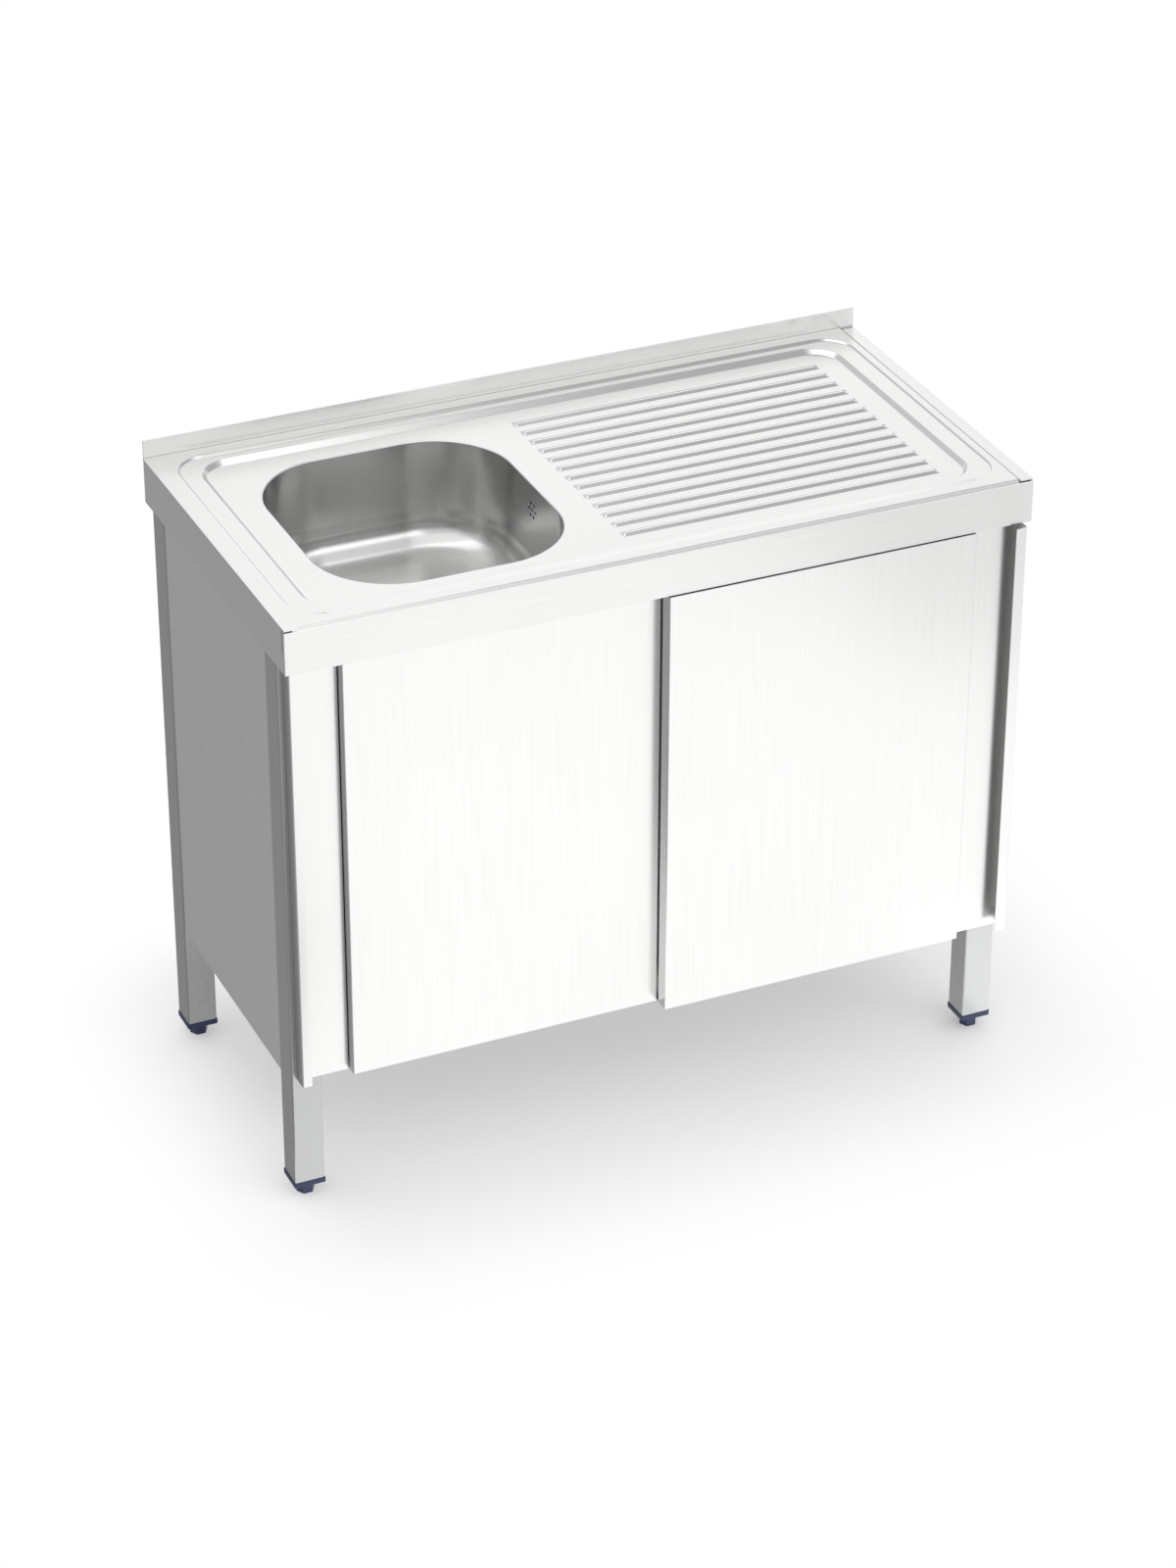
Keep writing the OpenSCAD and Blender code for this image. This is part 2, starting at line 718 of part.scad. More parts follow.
// End cover: web, outer flange and front lip folded from one sheet, with the inner edge folded back
module left_end_cover() {
    x0 = cover_inset - half_w;
    x1 = cover_reach - half_w;
    color(steel) {
        translate([0, 0, cover_low]) linear_extrude(cover_lip_top - cover_low) {
            span([x0, left_lip_y], [x0 + left_lip_w, left_lip_y + cab_t]);
            span([x0, left_lip_y], [x0 + cab_t, left_web_y + cab_t]);
        }
        translate([0, 0, cover_low]) linear_extrude(cover_top - cover_low) {
            span([x0, left_web_y], [x1, left_web_y + cab_t]);
            span([x1 - cab_t, left_web_y], [x1, shelf_front_y]);
        }
    }
}

module right_end_cover() {
    x0 = half_w - cover_inset;
    x1 = half_w - cover_reach;
    color(steel) {
        translate([0, 0, cover_low]) linear_extrude(cover_lip_top - cover_low) {
            span([x0, right_lip_y], [x0 - right_lip_w, right_lip_y + cab_t]);
            span([x0, right_lip_y], [x0 - cab_t, leg_face_y]);
            span([x0, leg_face_y - cab_t], [x0 - right_lip_w, leg_face_y]);
        }
        translate([0, 0, cover_low]) linear_extrude(cover_top - cover_low) {
            span([x0 - cab_t, right_web_y], [x1, right_web_y + cab_t]);
            span([x1 + cab_t, right_web_y], [x1, shelf_front_y]);
        }
    }
}

// One channel of the track in Y and Z, its slot down
module channel_profile(y) {
    wall = channel_half + track_t;
    span([y - wall, lip_z], [y - channel_half, track_top]);
    span([y + wall, lip_z], [y + channel_half, track_top]);
    span([y - wall, channel_top], [y + wall, track_top]);
    span([y - wall, lip_z], [y - slot_w / 2, lip_top_z]);
    span([y + wall, lip_z], [y + slot_w / 2, lip_top_z]);
}

module rivet_row() {
    y = (track_front_y + track_rear_y) / 2;
    for (i = [-2:2]) translate([i * (track_half - 20) / 2, y, channel_top]) children();
}

module top_track() {
    color(dark_steel) difference() {
        run_x(2 * track_half) {
            channel_profile(track_front_y);
            channel_profile(track_rear_y);
            span([track_front_y, channel_top], [track_rear_y, track_top]);
        }
        rivet_row() cylinder(h = 20, r = 1.6 + run_gap, center = true);
    }
}

module track_rivets() {
    color(steel) rivet_row() {
        translate([0, 0, -1.2]) cylinder(h = 1.2, r = 2.6);
        cylinder(h = 2 * track_t, r = 1.6);
        translate([0, 0, 2 * track_t]) cylinder(h = 1.2, r = 2.6);
    }
}

module track_stops() {
    x = door_x + hanger_offset + hanger_w / 2 + seat_gap;
    color(rubber) for (side = [-1, 1], y = [track_front_y, track_rear_y])
        block([side * x, y - channel_half, lip_top_z], [side * (x + stop_len), y + channel_half, channel_top]);
}

// Lower guide: a bracket on the shelf's front edge, its arm under both doors
module bottom_guide() {
    arm_z = door_low - guide_drop;
    x = guide_len + 1;
    color(dark_steel) {
        block([-2 * x, shelf_front_y - guide_t, arm_z - guide_t], [2 * x, shelf_front_y, shelf_z - 2]);
        block([-x, left_door_y + door_slot_y - 5, arm_z - guide_t], [x, shelf_front_y, arm_z]);
        block([0, right_door_y + door_slot_y - 5, arm_z - guide_t], [x, shelf_front_y, arm_z]);
    }
}

module guide_blocks() {
    arm_z = door_low - guide_drop;
    color(white_plastic) for (side = [-1, 1])
        translate([side * (1 + guide_len / 2), (side < 0 ? left_door_y : right_door_y) + door_slot_y, arm_z])
            linear_extrude(guide_drop + guide_rise) rounded_rect(guide_len, fold_slot - 2 * seat_gap, 1.5);
}

// Plan of a sheet with both upright edges folded back over the depth
module folded_plan(w, depth, r) {
    translate([-w / 2, r]) square([w, depth - r]);
    translate([r - w / 2, 0]) square([w - 2 * r, depth]);
    for (side = [-1, 1]) translate([side * (w / 2 - r), r]) circle(r);
}

// Door skin: a tray with full-depth side edges and narrow upper and lower edges
module door_skin() {
    color(steel) {
        translate([0, 0, door_low]) linear_extrude(door_h) difference() {
            folded_plan(door_w, door_t, door_bend_r);
            translate([0, cab_t]) folded_plan(door_w - 2 * cab_t, door_t, door_bend_r - cab_t);
        }
        for (z = [door_low, door_top - cab_t])
            block([door_bend_r - door_w / 2, 0, z], [door_w / 2 - door_bend_r, cab_t + door_fold, z + cab_t]);
    }
}

module door_back() {
    x = door_w / 2 - cab_t;
    color(steel) {
        block([-x, door_t - cab_t, door_low], [x, door_t, door_top]);
        block([-x, door_t - door_fold, door_low], [x, door_t, door_low + cab_t]);
    }
}

// Hanger: a cranked plate from the door's back up into the track
module door_hangers() {
    z = door_top - hanger_crank;
    back = door_t - cab_t;
    mid = hanger_back;
    color(dark_steel) for (side = [-1, 1]) translate([side * hanger_offset, 0, 0]) difference() {
        run_x(hanger_w) {
            span([mid - hanger_t / 2, z], [mid + hanger_t / 2, wheel_z + axle_r + 3]);
            span([mid - hanger_t / 2, z - hanger_t], [back, z]);
            span([back - hanger_t, z - hanger_foot], [back, z]);
        }
        translate([0, mid, wheel_z]) rotate([90, 0, 0]) cylinder(h = 10, r = axle_r + run_gap, center = true);
    }
}

module door_axles() {
    inner = hanger_t / 2 + 0.4;
    head = inner + roller_w + 0.1;
    color(steel) for (side = [-1, 1]) translate([side * hanger_offset, hanger_back, wheel_z]) rotate([90, 0, 0]) {
        cylinder(h = 2 * head, r = axle_r, center = true);
        for (end = [-1, 1]) translate([0, 0, end * (head + 0.35)]) cylinder(h = 0.7, r = axle_r + 1.1, center = true);
    }
}

// Pair of nylon wheels on one axle, one on each side of the hanger
module roller_pair(side) {
    inner = hanger_t / 2 + 0.4;
    groove = 0.8;
    bore = axle_r + run_gap;
    color(white_plastic) translate([side * hanger_offset, hanger_back, wheel_z]) rotate([90, 0, 0])
        for (end = [0, 1]) mirror([0, 0, end]) translate([0, 0, inner]) rotate_extrude()
            polygon([[bore, 0], [roller_r - 0.5, 0], [roller_r, 0.5], [roller_r, roller_w - 0.5],
                     [roller_r - 0.5, roller_w], [roller_r - 2, roller_w], [roller_r - 2.6, roller_w - groove],
                     [bore + 1.8, roller_w - groove], [bore + 1.2, roller_w], [bore, roller_w]]);
}

// Channel along the door's lower edge, open downwards round the guide's block
module door_channel() {
    wall = 1.5;
    half = fold_slot / 2;
    z0 = door_low + cab_t;
    z1 = door_low + guide_rise + 3;
    color(white_plastic) translate([0, door_slot_y, 0]) run_x(door_w - 2 * cab_t) {
        for (side = [-1, 1]) span([side * half, z0], [side * (half + wall), z1]);
        span([-half - wall, z1 - wall], [half + wall, z1]);
    }
}

module at_door(side) {
    translate([side * door_x, side < 0 ? left_door_y : right_door_y, 0]) children();
}

module waste_flange() {
    seat_r = sleeve_r - 1.5;
    bore_r = sleeve_r - sleeve_t;
    color(steel) translate([bowl_x, bowl_y, waste_z]) {
        rotate_extrude() polygon([[bore_r, -40], [sleeve_r, -40], [sleeve_r, 0], [waste_flange_r, 0],
                                  [waste_flange_r, 0.6], [waste_flange_r - 1, 1.6], [waste_flange_r - 6, 2],
                                  [seat_r + 1.5, 1.4], [seat_r, 0], [bore_r, -12]]);
        for (turn = [0, 90]) rotate([0, 0, turn])
            translate([0, 0, -21]) cube([2 * bore_r + 1, 2.5, 2], center = true);
    }
}

module waste_seal() {
    color(rubber) translate([bowl_x, bowl_y, waste_z - bowl_t - seal_t]) difference() {
        cylinder(h = seal_t, r = waste_flange_r - 1);
        translate([0, 0, -1]) cylinder(h = seal_t + 2, r = sleeve_r + run_gap);
    }
}

module waste_nut() {
    color(steel) translate([bowl_x, bowl_y, waste_z - bowl_t - seal_t - nut_h]) difference() {
        cylinder(h = nut_h, r = waste_flange_r + 2, $fn = 6);
        translate([0, 0, -1]) cylinder(h = nut_h + 2, r = sleeve_r + run_gap);
    }
}

// Waste body: a cup screwed on the sleeve, a side branch and the outlet below
module waste_body() {
    cup_r = sleeve_r + 4;
    cup_top = waste_z - bowl_t - seal_t - nut_h;
    mouth = cup_r + branch_len;
    color(white_plastic) translate([bowl_x, bowl_y, 0]) difference() {
        union() {
            translate([0, 0, cup_low]) cylinder(h = cup_top - cup_low, r = cup_r);
            translate([0, 0, cup_low - 8]) cylinder(h = 8, r1 = outlet_r, r2 = cup_r);
            translate([0, 0, cup_low - 8 - outlet_len]) cylinder(h = outlet_len, r = outlet_r);
            translate([0, 0, branch_z]) rotate([0, 90, 0]) cylinder(h = mouth, r = pipe_r + 3);
        }
        translate([0, 0, waste_z - 42]) cylinder(h = 60, r = sleeve_r + run_gap);
        translate([0, 0, cup_low - 9 - outlet_len]) cylinder(h = outlet_len + 60, r = outlet_r - 4);
        translate([cup_r - 0.5, 0, branch_z]) rotate([0, 90, 0]) cylinder(h = 40, r = pipe_r + run_gap);
    }
}

module waste_plug() {
    r = sleeve_r - 1.5 - seat_gap;
    low = sleeve_r - sleeve_t - seat_gap;
    color(rubber) translate([bowl_x, bowl_y, waste_z]) {
        rotate_extrude() polygon([[0, -10], [low, -10], [r, 0.6], [r - 1, 2.6], [6, 3.4], [0, 3.4]]);
        translate([0, 0, 3]) cylinder(h = 3, r = 5);
        translate([0, 0, 8]) rotate([90, 0, 0]) rotate_extrude() translate([6, 0]) circle(1.4);
    }
}

// Outer face of the bowl's right wall at the height of the overflow
wall_slope = bowl_draft / (field_z - bowl_floor - bowl_fillet - bowl_ledge - bowl_rim_r);
overflow_x = bowl_x + bowl_w / 2 + bowl_t - wall_slope * (field_z - overflow_z - bowl_rim_r);
box_r = 20;
box_l = 24;
overflow_seal_x = overflow_x + wall_slope * box_r + seat_gap;
spout_x = overflow_seal_x + 2 + box_l / 2;

module overflow_seal() {
    color(rubber) translate([overflow_seal_x, bowl_y, overflow_z]) rotate([0, 90, 0]) difference() {
        cylinder(h = 2, r = box_r);
        translate([0, 0, -1]) cylinder(h = 4, r = box_r - 4);
    }
}

// Round box behind the overflow holes, with a spout for the pipe
module overflow_box() {
    x0 = overflow_seal_x + 2;
    color(white_plastic) difference() {
        union() {
            translate([x0, bowl_y, overflow_z]) rotate([0, 90, 0]) cylinder(h = box_l, r = box_r);
            translate([spout_x, bowl_y, overflow_z - box_r - 18]) cylinder(h = 30, r = pipe_r + 1.8);
        }
        translate([x0 - 1, bowl_y, overflow_z]) rotate([0, 90, 0]) cylinder(h = box_l - 1, r = box_r - 2.5);
        translate([spout_x, bowl_y, overflow_z - box_r - 19]) cylinder(h = 25, r = pipe_r + run_gap);
    }
}

// Overflow pipe from the spout down and round to the waste body's branch
module overflow_pipe() {
    start_x = bowl_x + sleeve_r + 10;
    top = overflow_z - box_r - 2;
    module ring() difference() {
        circle(pipe_r);
        circle(pipe_r - pipe_t);
    }
    color(white_plastic) translate([0, bowl_y, 0]) {
        translate([spout_x, 0, branch_z + pipe_bend - join]) linear_extrude(top - branch_z - pipe_bend + join) ring();
        translate([start_x, 0, branch_z]) rotate([90, 0, 90])
            linear_extrude(spout_x - pipe_bend - start_x + join) ring();
        translate([spout_x - pipe_bend, 0, branch_z + pipe_bend]) rotate([90, 0, 0]) rotate([0, 0, -90])
            rotate_extrude(angle = 90) translate([pipe_bend, 0]) ring();
    }
}

worktop();
sink_bowl();
front_stiffener();
rear_stiffener();
drainer_stiffener();
at_leg(-1, -1) leg();  // leg_front_left
at_leg(1, -1) leg();  // leg_front_right
at_leg(-1, 1) leg();  // leg_rear_left
at_leg(1, 1) leg();  // leg_rear_right
at_leg(-1, -1) leg_cap();  // cap_front_left
at_leg(1, -1) leg_cap();  // cap_front_right
at_leg(-1, 1) leg_cap();  // cap_rear_left
at_leg(1, 1) leg_cap();  // cap_rear_right
at_leg(-1, -1) levelling_foot();  // foot_front_left
at_leg(1, -1) levelling_foot();  // foot_front_right
at_leg(-1, 1) levelling_foot();  // foot_rear_left
at_leg(1, 1) levelling_foot();  // foot_rear_right
top_rail(-1);  // left_top_rail
top_rail(1);  // right_top_rail
side_panel(-1);  // left_side_panel
side_panel(1);  // right_side_panel
back_panel();
bottom_shelf();
shelf_stiffener();
left_end_cover();
right_end_cover();
top_track();
track_stops();
track_rivets();
bottom_guide();
guide_blocks();
at_door(-1) door_skin();  // left_door_skin
at_door(-1) door_back();  // left_door_back
at_door(-1) door_hangers();  // left_door_hangers
at_door(-1) door_axles();  // left_door_axles
at_door(-1) door_channel();  // left_door_channel
at_door(1) door_skin();  // right_door_skin
at_door(1) door_back();  // right_door_back
at_door(1) door_hangers();  // right_door_hangers
at_door(1) door_axles();  // right_door_axles
at_door(1) door_channel();  // right_door_channel
at_door(-1) roller_pair(-1);  // left_roller_a
at_door(-1) roller_pair(1);  // left_roller_b
at_door(1) roller_pair(-1);  // right_roller_a
at_door(1) roller_pair(1);  // right_roller_b
waste_flange();
waste_seal();
waste_nut();
waste_body();
waste_plug();
overflow_box();
overflow_seal();
overflow_pipe();
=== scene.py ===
import json
import math

import bmesh
import bpy
from mathutils import Euler, Matrix, Vector


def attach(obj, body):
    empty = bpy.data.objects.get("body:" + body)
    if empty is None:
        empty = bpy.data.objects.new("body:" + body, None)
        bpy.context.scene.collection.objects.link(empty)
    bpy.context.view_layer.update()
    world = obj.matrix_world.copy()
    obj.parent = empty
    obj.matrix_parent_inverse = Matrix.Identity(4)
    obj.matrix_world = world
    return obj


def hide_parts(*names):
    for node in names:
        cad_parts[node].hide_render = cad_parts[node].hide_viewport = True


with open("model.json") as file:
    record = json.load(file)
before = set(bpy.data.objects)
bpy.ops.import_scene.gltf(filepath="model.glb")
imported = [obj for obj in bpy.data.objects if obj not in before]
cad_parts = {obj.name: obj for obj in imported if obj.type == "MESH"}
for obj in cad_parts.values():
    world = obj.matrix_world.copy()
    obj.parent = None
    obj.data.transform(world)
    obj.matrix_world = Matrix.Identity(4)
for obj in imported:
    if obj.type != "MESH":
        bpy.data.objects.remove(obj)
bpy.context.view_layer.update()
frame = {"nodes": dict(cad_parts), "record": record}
nodes = frame["nodes"]
scene = bpy.context.scene

# Worktop sheet
# One pressed sheet of 1 mm stainless steel with a 60 mm apron at the front and sides. A gentle step and a slope
# are pressed round the wet area, thirteen ribs into the drainer, and two tiny steps lead down to the front edge.
top_w = 1000
front_y, back_y = -246, 254
rim_z, border_z, step_z, field_z = 840, 839, 837, 832
apron_z, rear_apron_z = 780, 800
edge_drop, edge_slope = 1.1, 1.2
first_edge, second_edge = 3.4, 6.9
sheet = 1
same_place = 0.002
X, Y, Z = range(3)


def finish_mesh(name, bm, body, material, stands_for=(), sharp=32, wall=0.0):
    """Turns millimetres into metres, makes the object at the origin and ties it to the frame"""
    bmesh.ops.remove_doubles(bm, verts=bm.verts, dist=same_place)
    bmesh.ops.recalc_face_normals(bm, faces=bm.faces)
    bmesh.ops.scale(bm, vec=(0.001, 0.001, 0.001), verts=bm.verts)
    mesh = bpy.data.meshes.new(name)
    bm.to_mesh(mesh)
    rims = [i for i, e in enumerate(bm.edges) if e.is_boundary]
    bm.free()
    mesh.shade_smooth()
    mesh.set_sharp_from_angle(angle=math.radians(sharp))
    for i in rims:
        mesh.edges[i].use_edge_sharp = True
    mesh.materials.append(material)
    obj = bpy.data.objects.new(name, mesh)
    scene.collection.objects.link(obj)
    if wall:
        solid = obj.modifiers.new("wall", "SOLIDIFY")
        solid.thickness = wall * 0.001
        solid.offset = -1
    flats = obj.modifiers.new("even_flats", "WEIGHTED_NORMAL")
    flats.keep_sharp = True
    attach(obj, body)
    if stands_for:
        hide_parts(*stands_for)


def only(kind, geom):
    """The vertices or the edges among what an operator returns"""
    return [g for g in geom if isinstance(g, kind)]


def lies_at(part, axis, value, slack=0.01):
    """Whether a whole edge or face lies at one place along an axis"""
    return all(abs(v.co[axis] - value) < slack for v in part.verts)


def bend(points, radii, steps=4):
    """Rounds the inner corners of a line of (u, v) points, each to its own radius"""
    line = [tuple(points[0])]
    for before, at, after, radius in zip(points, points[1:], points[2:], radii):
        at = Vector(at)
        back, ahead = (Vector(before) - at).normalized(), (Vector(after) - at).normalized()
        half = back.angle(ahead) / 2
        centre = at + (back + ahead).normalized() * radius / math.sin(half)
        start = at + back * radius / math.tan(half) - centre
        turn = (math.pi - 2 * half) * (1 if start.cross(at - centre) > 0 else -1)
        line += [tuple(centre + Matrix.Rotation(turn * i / steps, 2) @ start) for i in range(steps + 1)]
    return line + [tuple(points[-1])]


def prism(bm, corners, along):
    """A flat face through the corners, drawn out to a block"""
    face = bm.faces.new([bm.verts.new(c) for c in corners])
    grown = bmesh.ops.extrude_face_region(bm, geom=[face])
    bmesh.ops.translate(bm, verts=only(bmesh.types.BMVert, grown["geom"]), vec=along)


def press_round(bm, section, width, depth, radius, centre, steps):
    """Draws a section of (outward, height) points round a rectangle with round corners"""
    cx, cy = centre
    half_w = width / 2 - radius
    half_d = depth / 2 - radius
    points = [bm.verts.new((cx + width / 2 + out, cy - half_d, z)) for out, z in section]
    edges = [bm.edges.new(pair) for pair in zip(points, points[1:])]
    runs = [((0, 1), half_d), ((-1, 0), half_w), ((0, -1), half_d), ((1, 0), half_w)]
    corners = [(1, 1), (-1, 1), (-1, -1), (1, -1)]
    for ((dx, dy), half), (sx, sy) in zip(runs, corners):
        grown = bmesh.ops.extrude_edge_only(bm, edges=edges)["geom"]
        moved = only(bmesh.types.BMVert, grown)
        bmesh.ops.translate(bm, verts=moved, vec=(dx * 2 * half, dy * 2 * half, 0))
        edges = [e for e in only(bmesh.types.BMEdge, grown) if all(v in moved for v in e.verts)]
        turned = bmesh.ops.spin(bm, geom=moved + edges, cent=(cx + sx * half_w, cy + sy * half_d, 0),
                                axis=(0, 0, 1), dvec=(0, 0, 0), angle=math.pi / 2, steps=steps,
                                use_merge=False, use_duplicate=False)
        edges = only(bmesh.types.BMEdge, turned["geom_last"])
    bmesh.ops.remove_doubles(bm, verts=bm.verts, dist=same_place)


def fill_level(bm, z):
    """Closes the flat between all open edges that lie at one height"""
    rim = [e for e in bm.edges if len(e.link_faces) < 2 and lies_at(e, Z, z, 0.001)]
    bmesh.ops.triangle_fill(bm, edges=rim, use_beauty=True, use_dissolve=False, normal=(0, 0, 1))


def cut(bm, faces, point, normal):
    """Splits some faces along a plane"""
    around = set(faces) | {e for f in faces for e in f.edges} | {v for f in faces for v in f.verts}
    bmesh.ops.bisect_plane(bm, geom=list(around), plane_co=point, plane_no=normal, dist=0.001)


def add(tree, kind, values=None, links=None, **settings):
    """Adds one node with its settings, its sockets' values and the links into it"""
    node = tree.nodes.new(kind)
    for key, value in settings.items():
        setattr(node, key, value)
    for key, value in (values or {}).items():
        node.inputs[key].default_value = value
    for key, source in (links or {}).items():
        tree.links.new(source, node.inputs[key])
    return node


def colour(hex_text):
    """sRGB hex to linear RGBA"""
    parts = [int(hex_text[i:i + 2], 16) / 255 for i in (1, 3, 5)]
    return tuple(p / 12.92 if p <= 0.04045 else ((p + 0.055) / 1.055) ** 2.4 for p in parts) + (1.0,)


def blank_material(name):
    """A material whose node tree is still empty, and that tree"""
    material = bpy.data.materials.new(name)
    material.use_nodes = True
    material.node_tree.nodes.clear()
    return material, material.node_tree


def ground_steel(name, tone, dark_tone, roughness, along, line_mm=1, run_mm=120, spread=0.015, relief=0.015):
    """Stainless steel 1.4301 ground with 240 grit: a fine grain of parallel lines that blurs reflections.
    The real lines are 0.05 mm apart. They are drawn 1 or 2 mm apart, because finer ones don't show."""
    material, tree = blank_material(name)
    place = add(tree, "ShaderNodeTexCoord")
    scale = [1000 / line_mm] * 3
    scale[along] = 1000 / run_mm
    lines_at = add(tree, "ShaderNodeMapping", {"Scale": scale}, {"Vector": place.outputs["Object"]})
    lines = add(tree, "ShaderNodeTexNoise", {"Scale": 1.0, "Detail": 2.0, "Roughness": 0.5},
                {"Vector": lines_at.outputs["Vector"]})
    # Rolling and wiping leave soft clouds about 200 mm across
    clouds = add(tree, "ShaderNodeTexNoise", {"Scale": 5.0, "Detail": 1.0, "Roughness": 0.4},
                 {"Vector": place.outputs["Object"]})
    both = add(tree, "ShaderNodeMath", {1: 0.25}, {0: clouds.outputs["Fac"], 2: lines.outputs["Fac"]},
               operation="MULTIPLY_ADD")
    # Where that noise has nearly all its values
    noise_range = {"From Min": 0.35, "From Max": 0.9}
    rough = add(tree, "ShaderNodeMapRange",
                {**noise_range, "To Min": roughness - spread, "To Max": roughness + spread},
                {"Value": both.outputs["Value"]})
    tint = add(tree, "ShaderNodeMapRange", noise_range, {"Value": both.outputs["Value"]})
    shade = add(tree, "ShaderNodeMix", {"A": colour(dark_tone), "B": colour(tone)},
                {"Factor": tint.outputs["Result"]}, data_type="RGBA")
    bump = add(tree, "ShaderNodeBump", {"Strength": relief, "Distance": 0.0001}, {"Height": lines.outputs["Fac"]})
    steel = add(tree, "ShaderNodeBsdfPrincipled", {"Metallic": 1.0},
                {"Base Color": shade.outputs["Result"], "Roughness": rough.outputs["Result"],
                 "Normal": bump.outputs["Normal"]})
    add(tree, "ShaderNodeOutputMaterial", links={"Surface": steel.outputs["BSDF"]})
    return material


# Ground along its length, which draws the reflections out softly from front to rear
worktop_steel = ground_steel("ground_steel_worktop", "#CECECD", "#C8C8C7", 0.24, along=X, relief=0.01)

top = bmesh.new()
first_z, second_z = border_z - 2 * edge_drop, border_z - edge_drop
# From the apron's hem up and over the two tiny steps. The last point only gives the bend its direction.
outline = bend([(front_y + 1.5, apron_z), (front_y, apron_z), (front_y, first_z), (front_y + first_edge, first_z),
                (front_y + first_edge + edge_slope, second_z), (front_y + second_edge, second_z),
                (front_y + second_edge + edge_slope, border_z), (0, border_z)], [0.5, 1.3, 0.4, 0.4, 0.4, 0.4])[:-1]
outline += [(back_y, border_z), (back_y, apron_z)]
prism(top, [(-top_w / 2, y, z) for y, z in outline], (top_w, 0, 0))
open_faces = [f for f in top.faces if lies_at(f, Z, apron_z) or lies_at(f, Z, border_z)]
bmesh.ops.delete(top, geom=open_faces, context="FACES_ONLY")
# The rear apron is lower than the others
cut(top, [f for f in top.faces if lies_at(f, Y, back_y)], (0, 0, rear_apron_z), (0, 0, 1))
low_rear = [f for f in top.faces if lies_at(f, Y, back_y) and f.calc_center_median().z < rear_apron_z]
bmesh.ops.delete(top, geom=low_rear, context="FACES")
# Open seam 34 mm long near the front end of each side apron
seam_y0, seam_y1, seam_low = front_y + 7, front_y + 9.5, 805
for side in (-1, 1):
    side_x = side * top_w / 2
    for point, normal in (((0, seam_y0, 0), (0, 1, 0)), ((0, seam_y1, 0), (0, 1, 0)), ((0, 0, seam_low), (0, 0, 1))):
        cut(top, [f for f in top.faces if lies_at(f, X, side_x)], point, normal)
    seam = [f for f in top.faces if lies_at(f, X, side_x)
            and seam_y0 < f.calc_center_median().y < seam_y1 and f.calc_center_median().z > seam_low]
    bmesh.ops.delete(top, geom=seam, context="FACES_ONLY")

# Outer step: 2 mm down over 2.2 mm at the sides, drawn out to 12 mm along the front and 7 mm along the rear.
# Inner slope: 5 mm down over 6 mm, drawn out to 10 mm along the rear.
outer_w, outer_d, outer_r, outer_c = 945, 460.5, 45, (0, 8.25)
inner_w, inner_d, inner_r, inner_c = 894, 417.5, 40, (0, 7.75)
# How far the three runs are drawn out, and between which places in Y each of them lies
front_reach, rear_reach, inner_reach = 9.8, 4.8, 4
front_run, rear_run, inner_run = (-230, -177), (193, 243), (175, 219.5)
rim_steps = 16


def off_corner(x, width, radius):
    """1 along the middle of a pressed run, fading to 0 through its corners"""
    return min(1, max(0, (width / 2 - abs(x)) / radius)) ** 2


press_round(top, bend([(3, border_z), (0, border_z), (-2.2, step_z), (-6, step_z)], [1.3, 1.3]),
            outer_w, outer_d, outer_r, outer_c, rim_steps)
for v in top.verts:
    share = (border_z - v.co.z) / (border_z - step_z) * off_corner(v.co.x, outer_w, outer_r)
    if front_run[0] < v.co.y < front_run[1] and v.co.z > step_z - 0.01:
        v.co.y += front_reach * share
    if rear_run[0] < v.co.y < rear_run[1] and v.co.z > step_z - 0.01:
        v.co.y -= rear_reach * share
press_round(top, bend([(2, step_z), (0, step_z), (-6, field_z), (-8, field_z)], [2.5, 2.5]),
            inner_w, inner_d, inner_r, inner_c, rim_steps)
for v in top.verts:
    if inner_run[0] < v.co.y < inner_run[1] and v.co.z < step_z + 0.01:
        share = (v.co.z - field_z) / (step_z - field_z) * off_corner(v.co.x, inner_w, inner_r)
        v.co.y += inner_reach * share

# Thirteen ribs, 28 mm apart, each 2 mm high with hipped ends
rib_x0, rib_x1, rib_y, rib_pitch, rib_h = -29, 408, 4, 28, 2
rib_foot, rib_crest, rib_hip = 7, 1.5, 5
half_across = [0.9, 1.2, 1.5, 1.8, 2.1, 4, 6.3, 6.7, 7, 7.3, 7.6]
across = [-y for y in half_across[::-1]] + [0] + half_across
ends = [-0.6, -0.3, 0, 0.3, 0.8, 2.5, 4.2, 4.7, 5, 5.3, 6, 14]
between = [rib_x0 + (rib_x1 - rib_x0) * i / 8 for i in range(1, 8)]
lengthwise = [rib_x0 + e for e in ends] + between + [rib_x1 - e for e in ends[::-1]]


def slope_height(distance, foot, crest, soft=0.3):
    """Height share of a straight flank from foot to crest, rounded at both bends"""
    share = (foot - distance) / (foot - crest)
    edge = soft / (foot - crest)
    if share <= -edge:
        return 0.0
    if share < edge:
        return (share + edge) ** 2 / (4 * edge)
    if share <= 1 - edge:
        return share
    if share < 1 + edge:
        return 1 - (1 + edge - share) ** 2 / (4 * edge)
    return 1.0


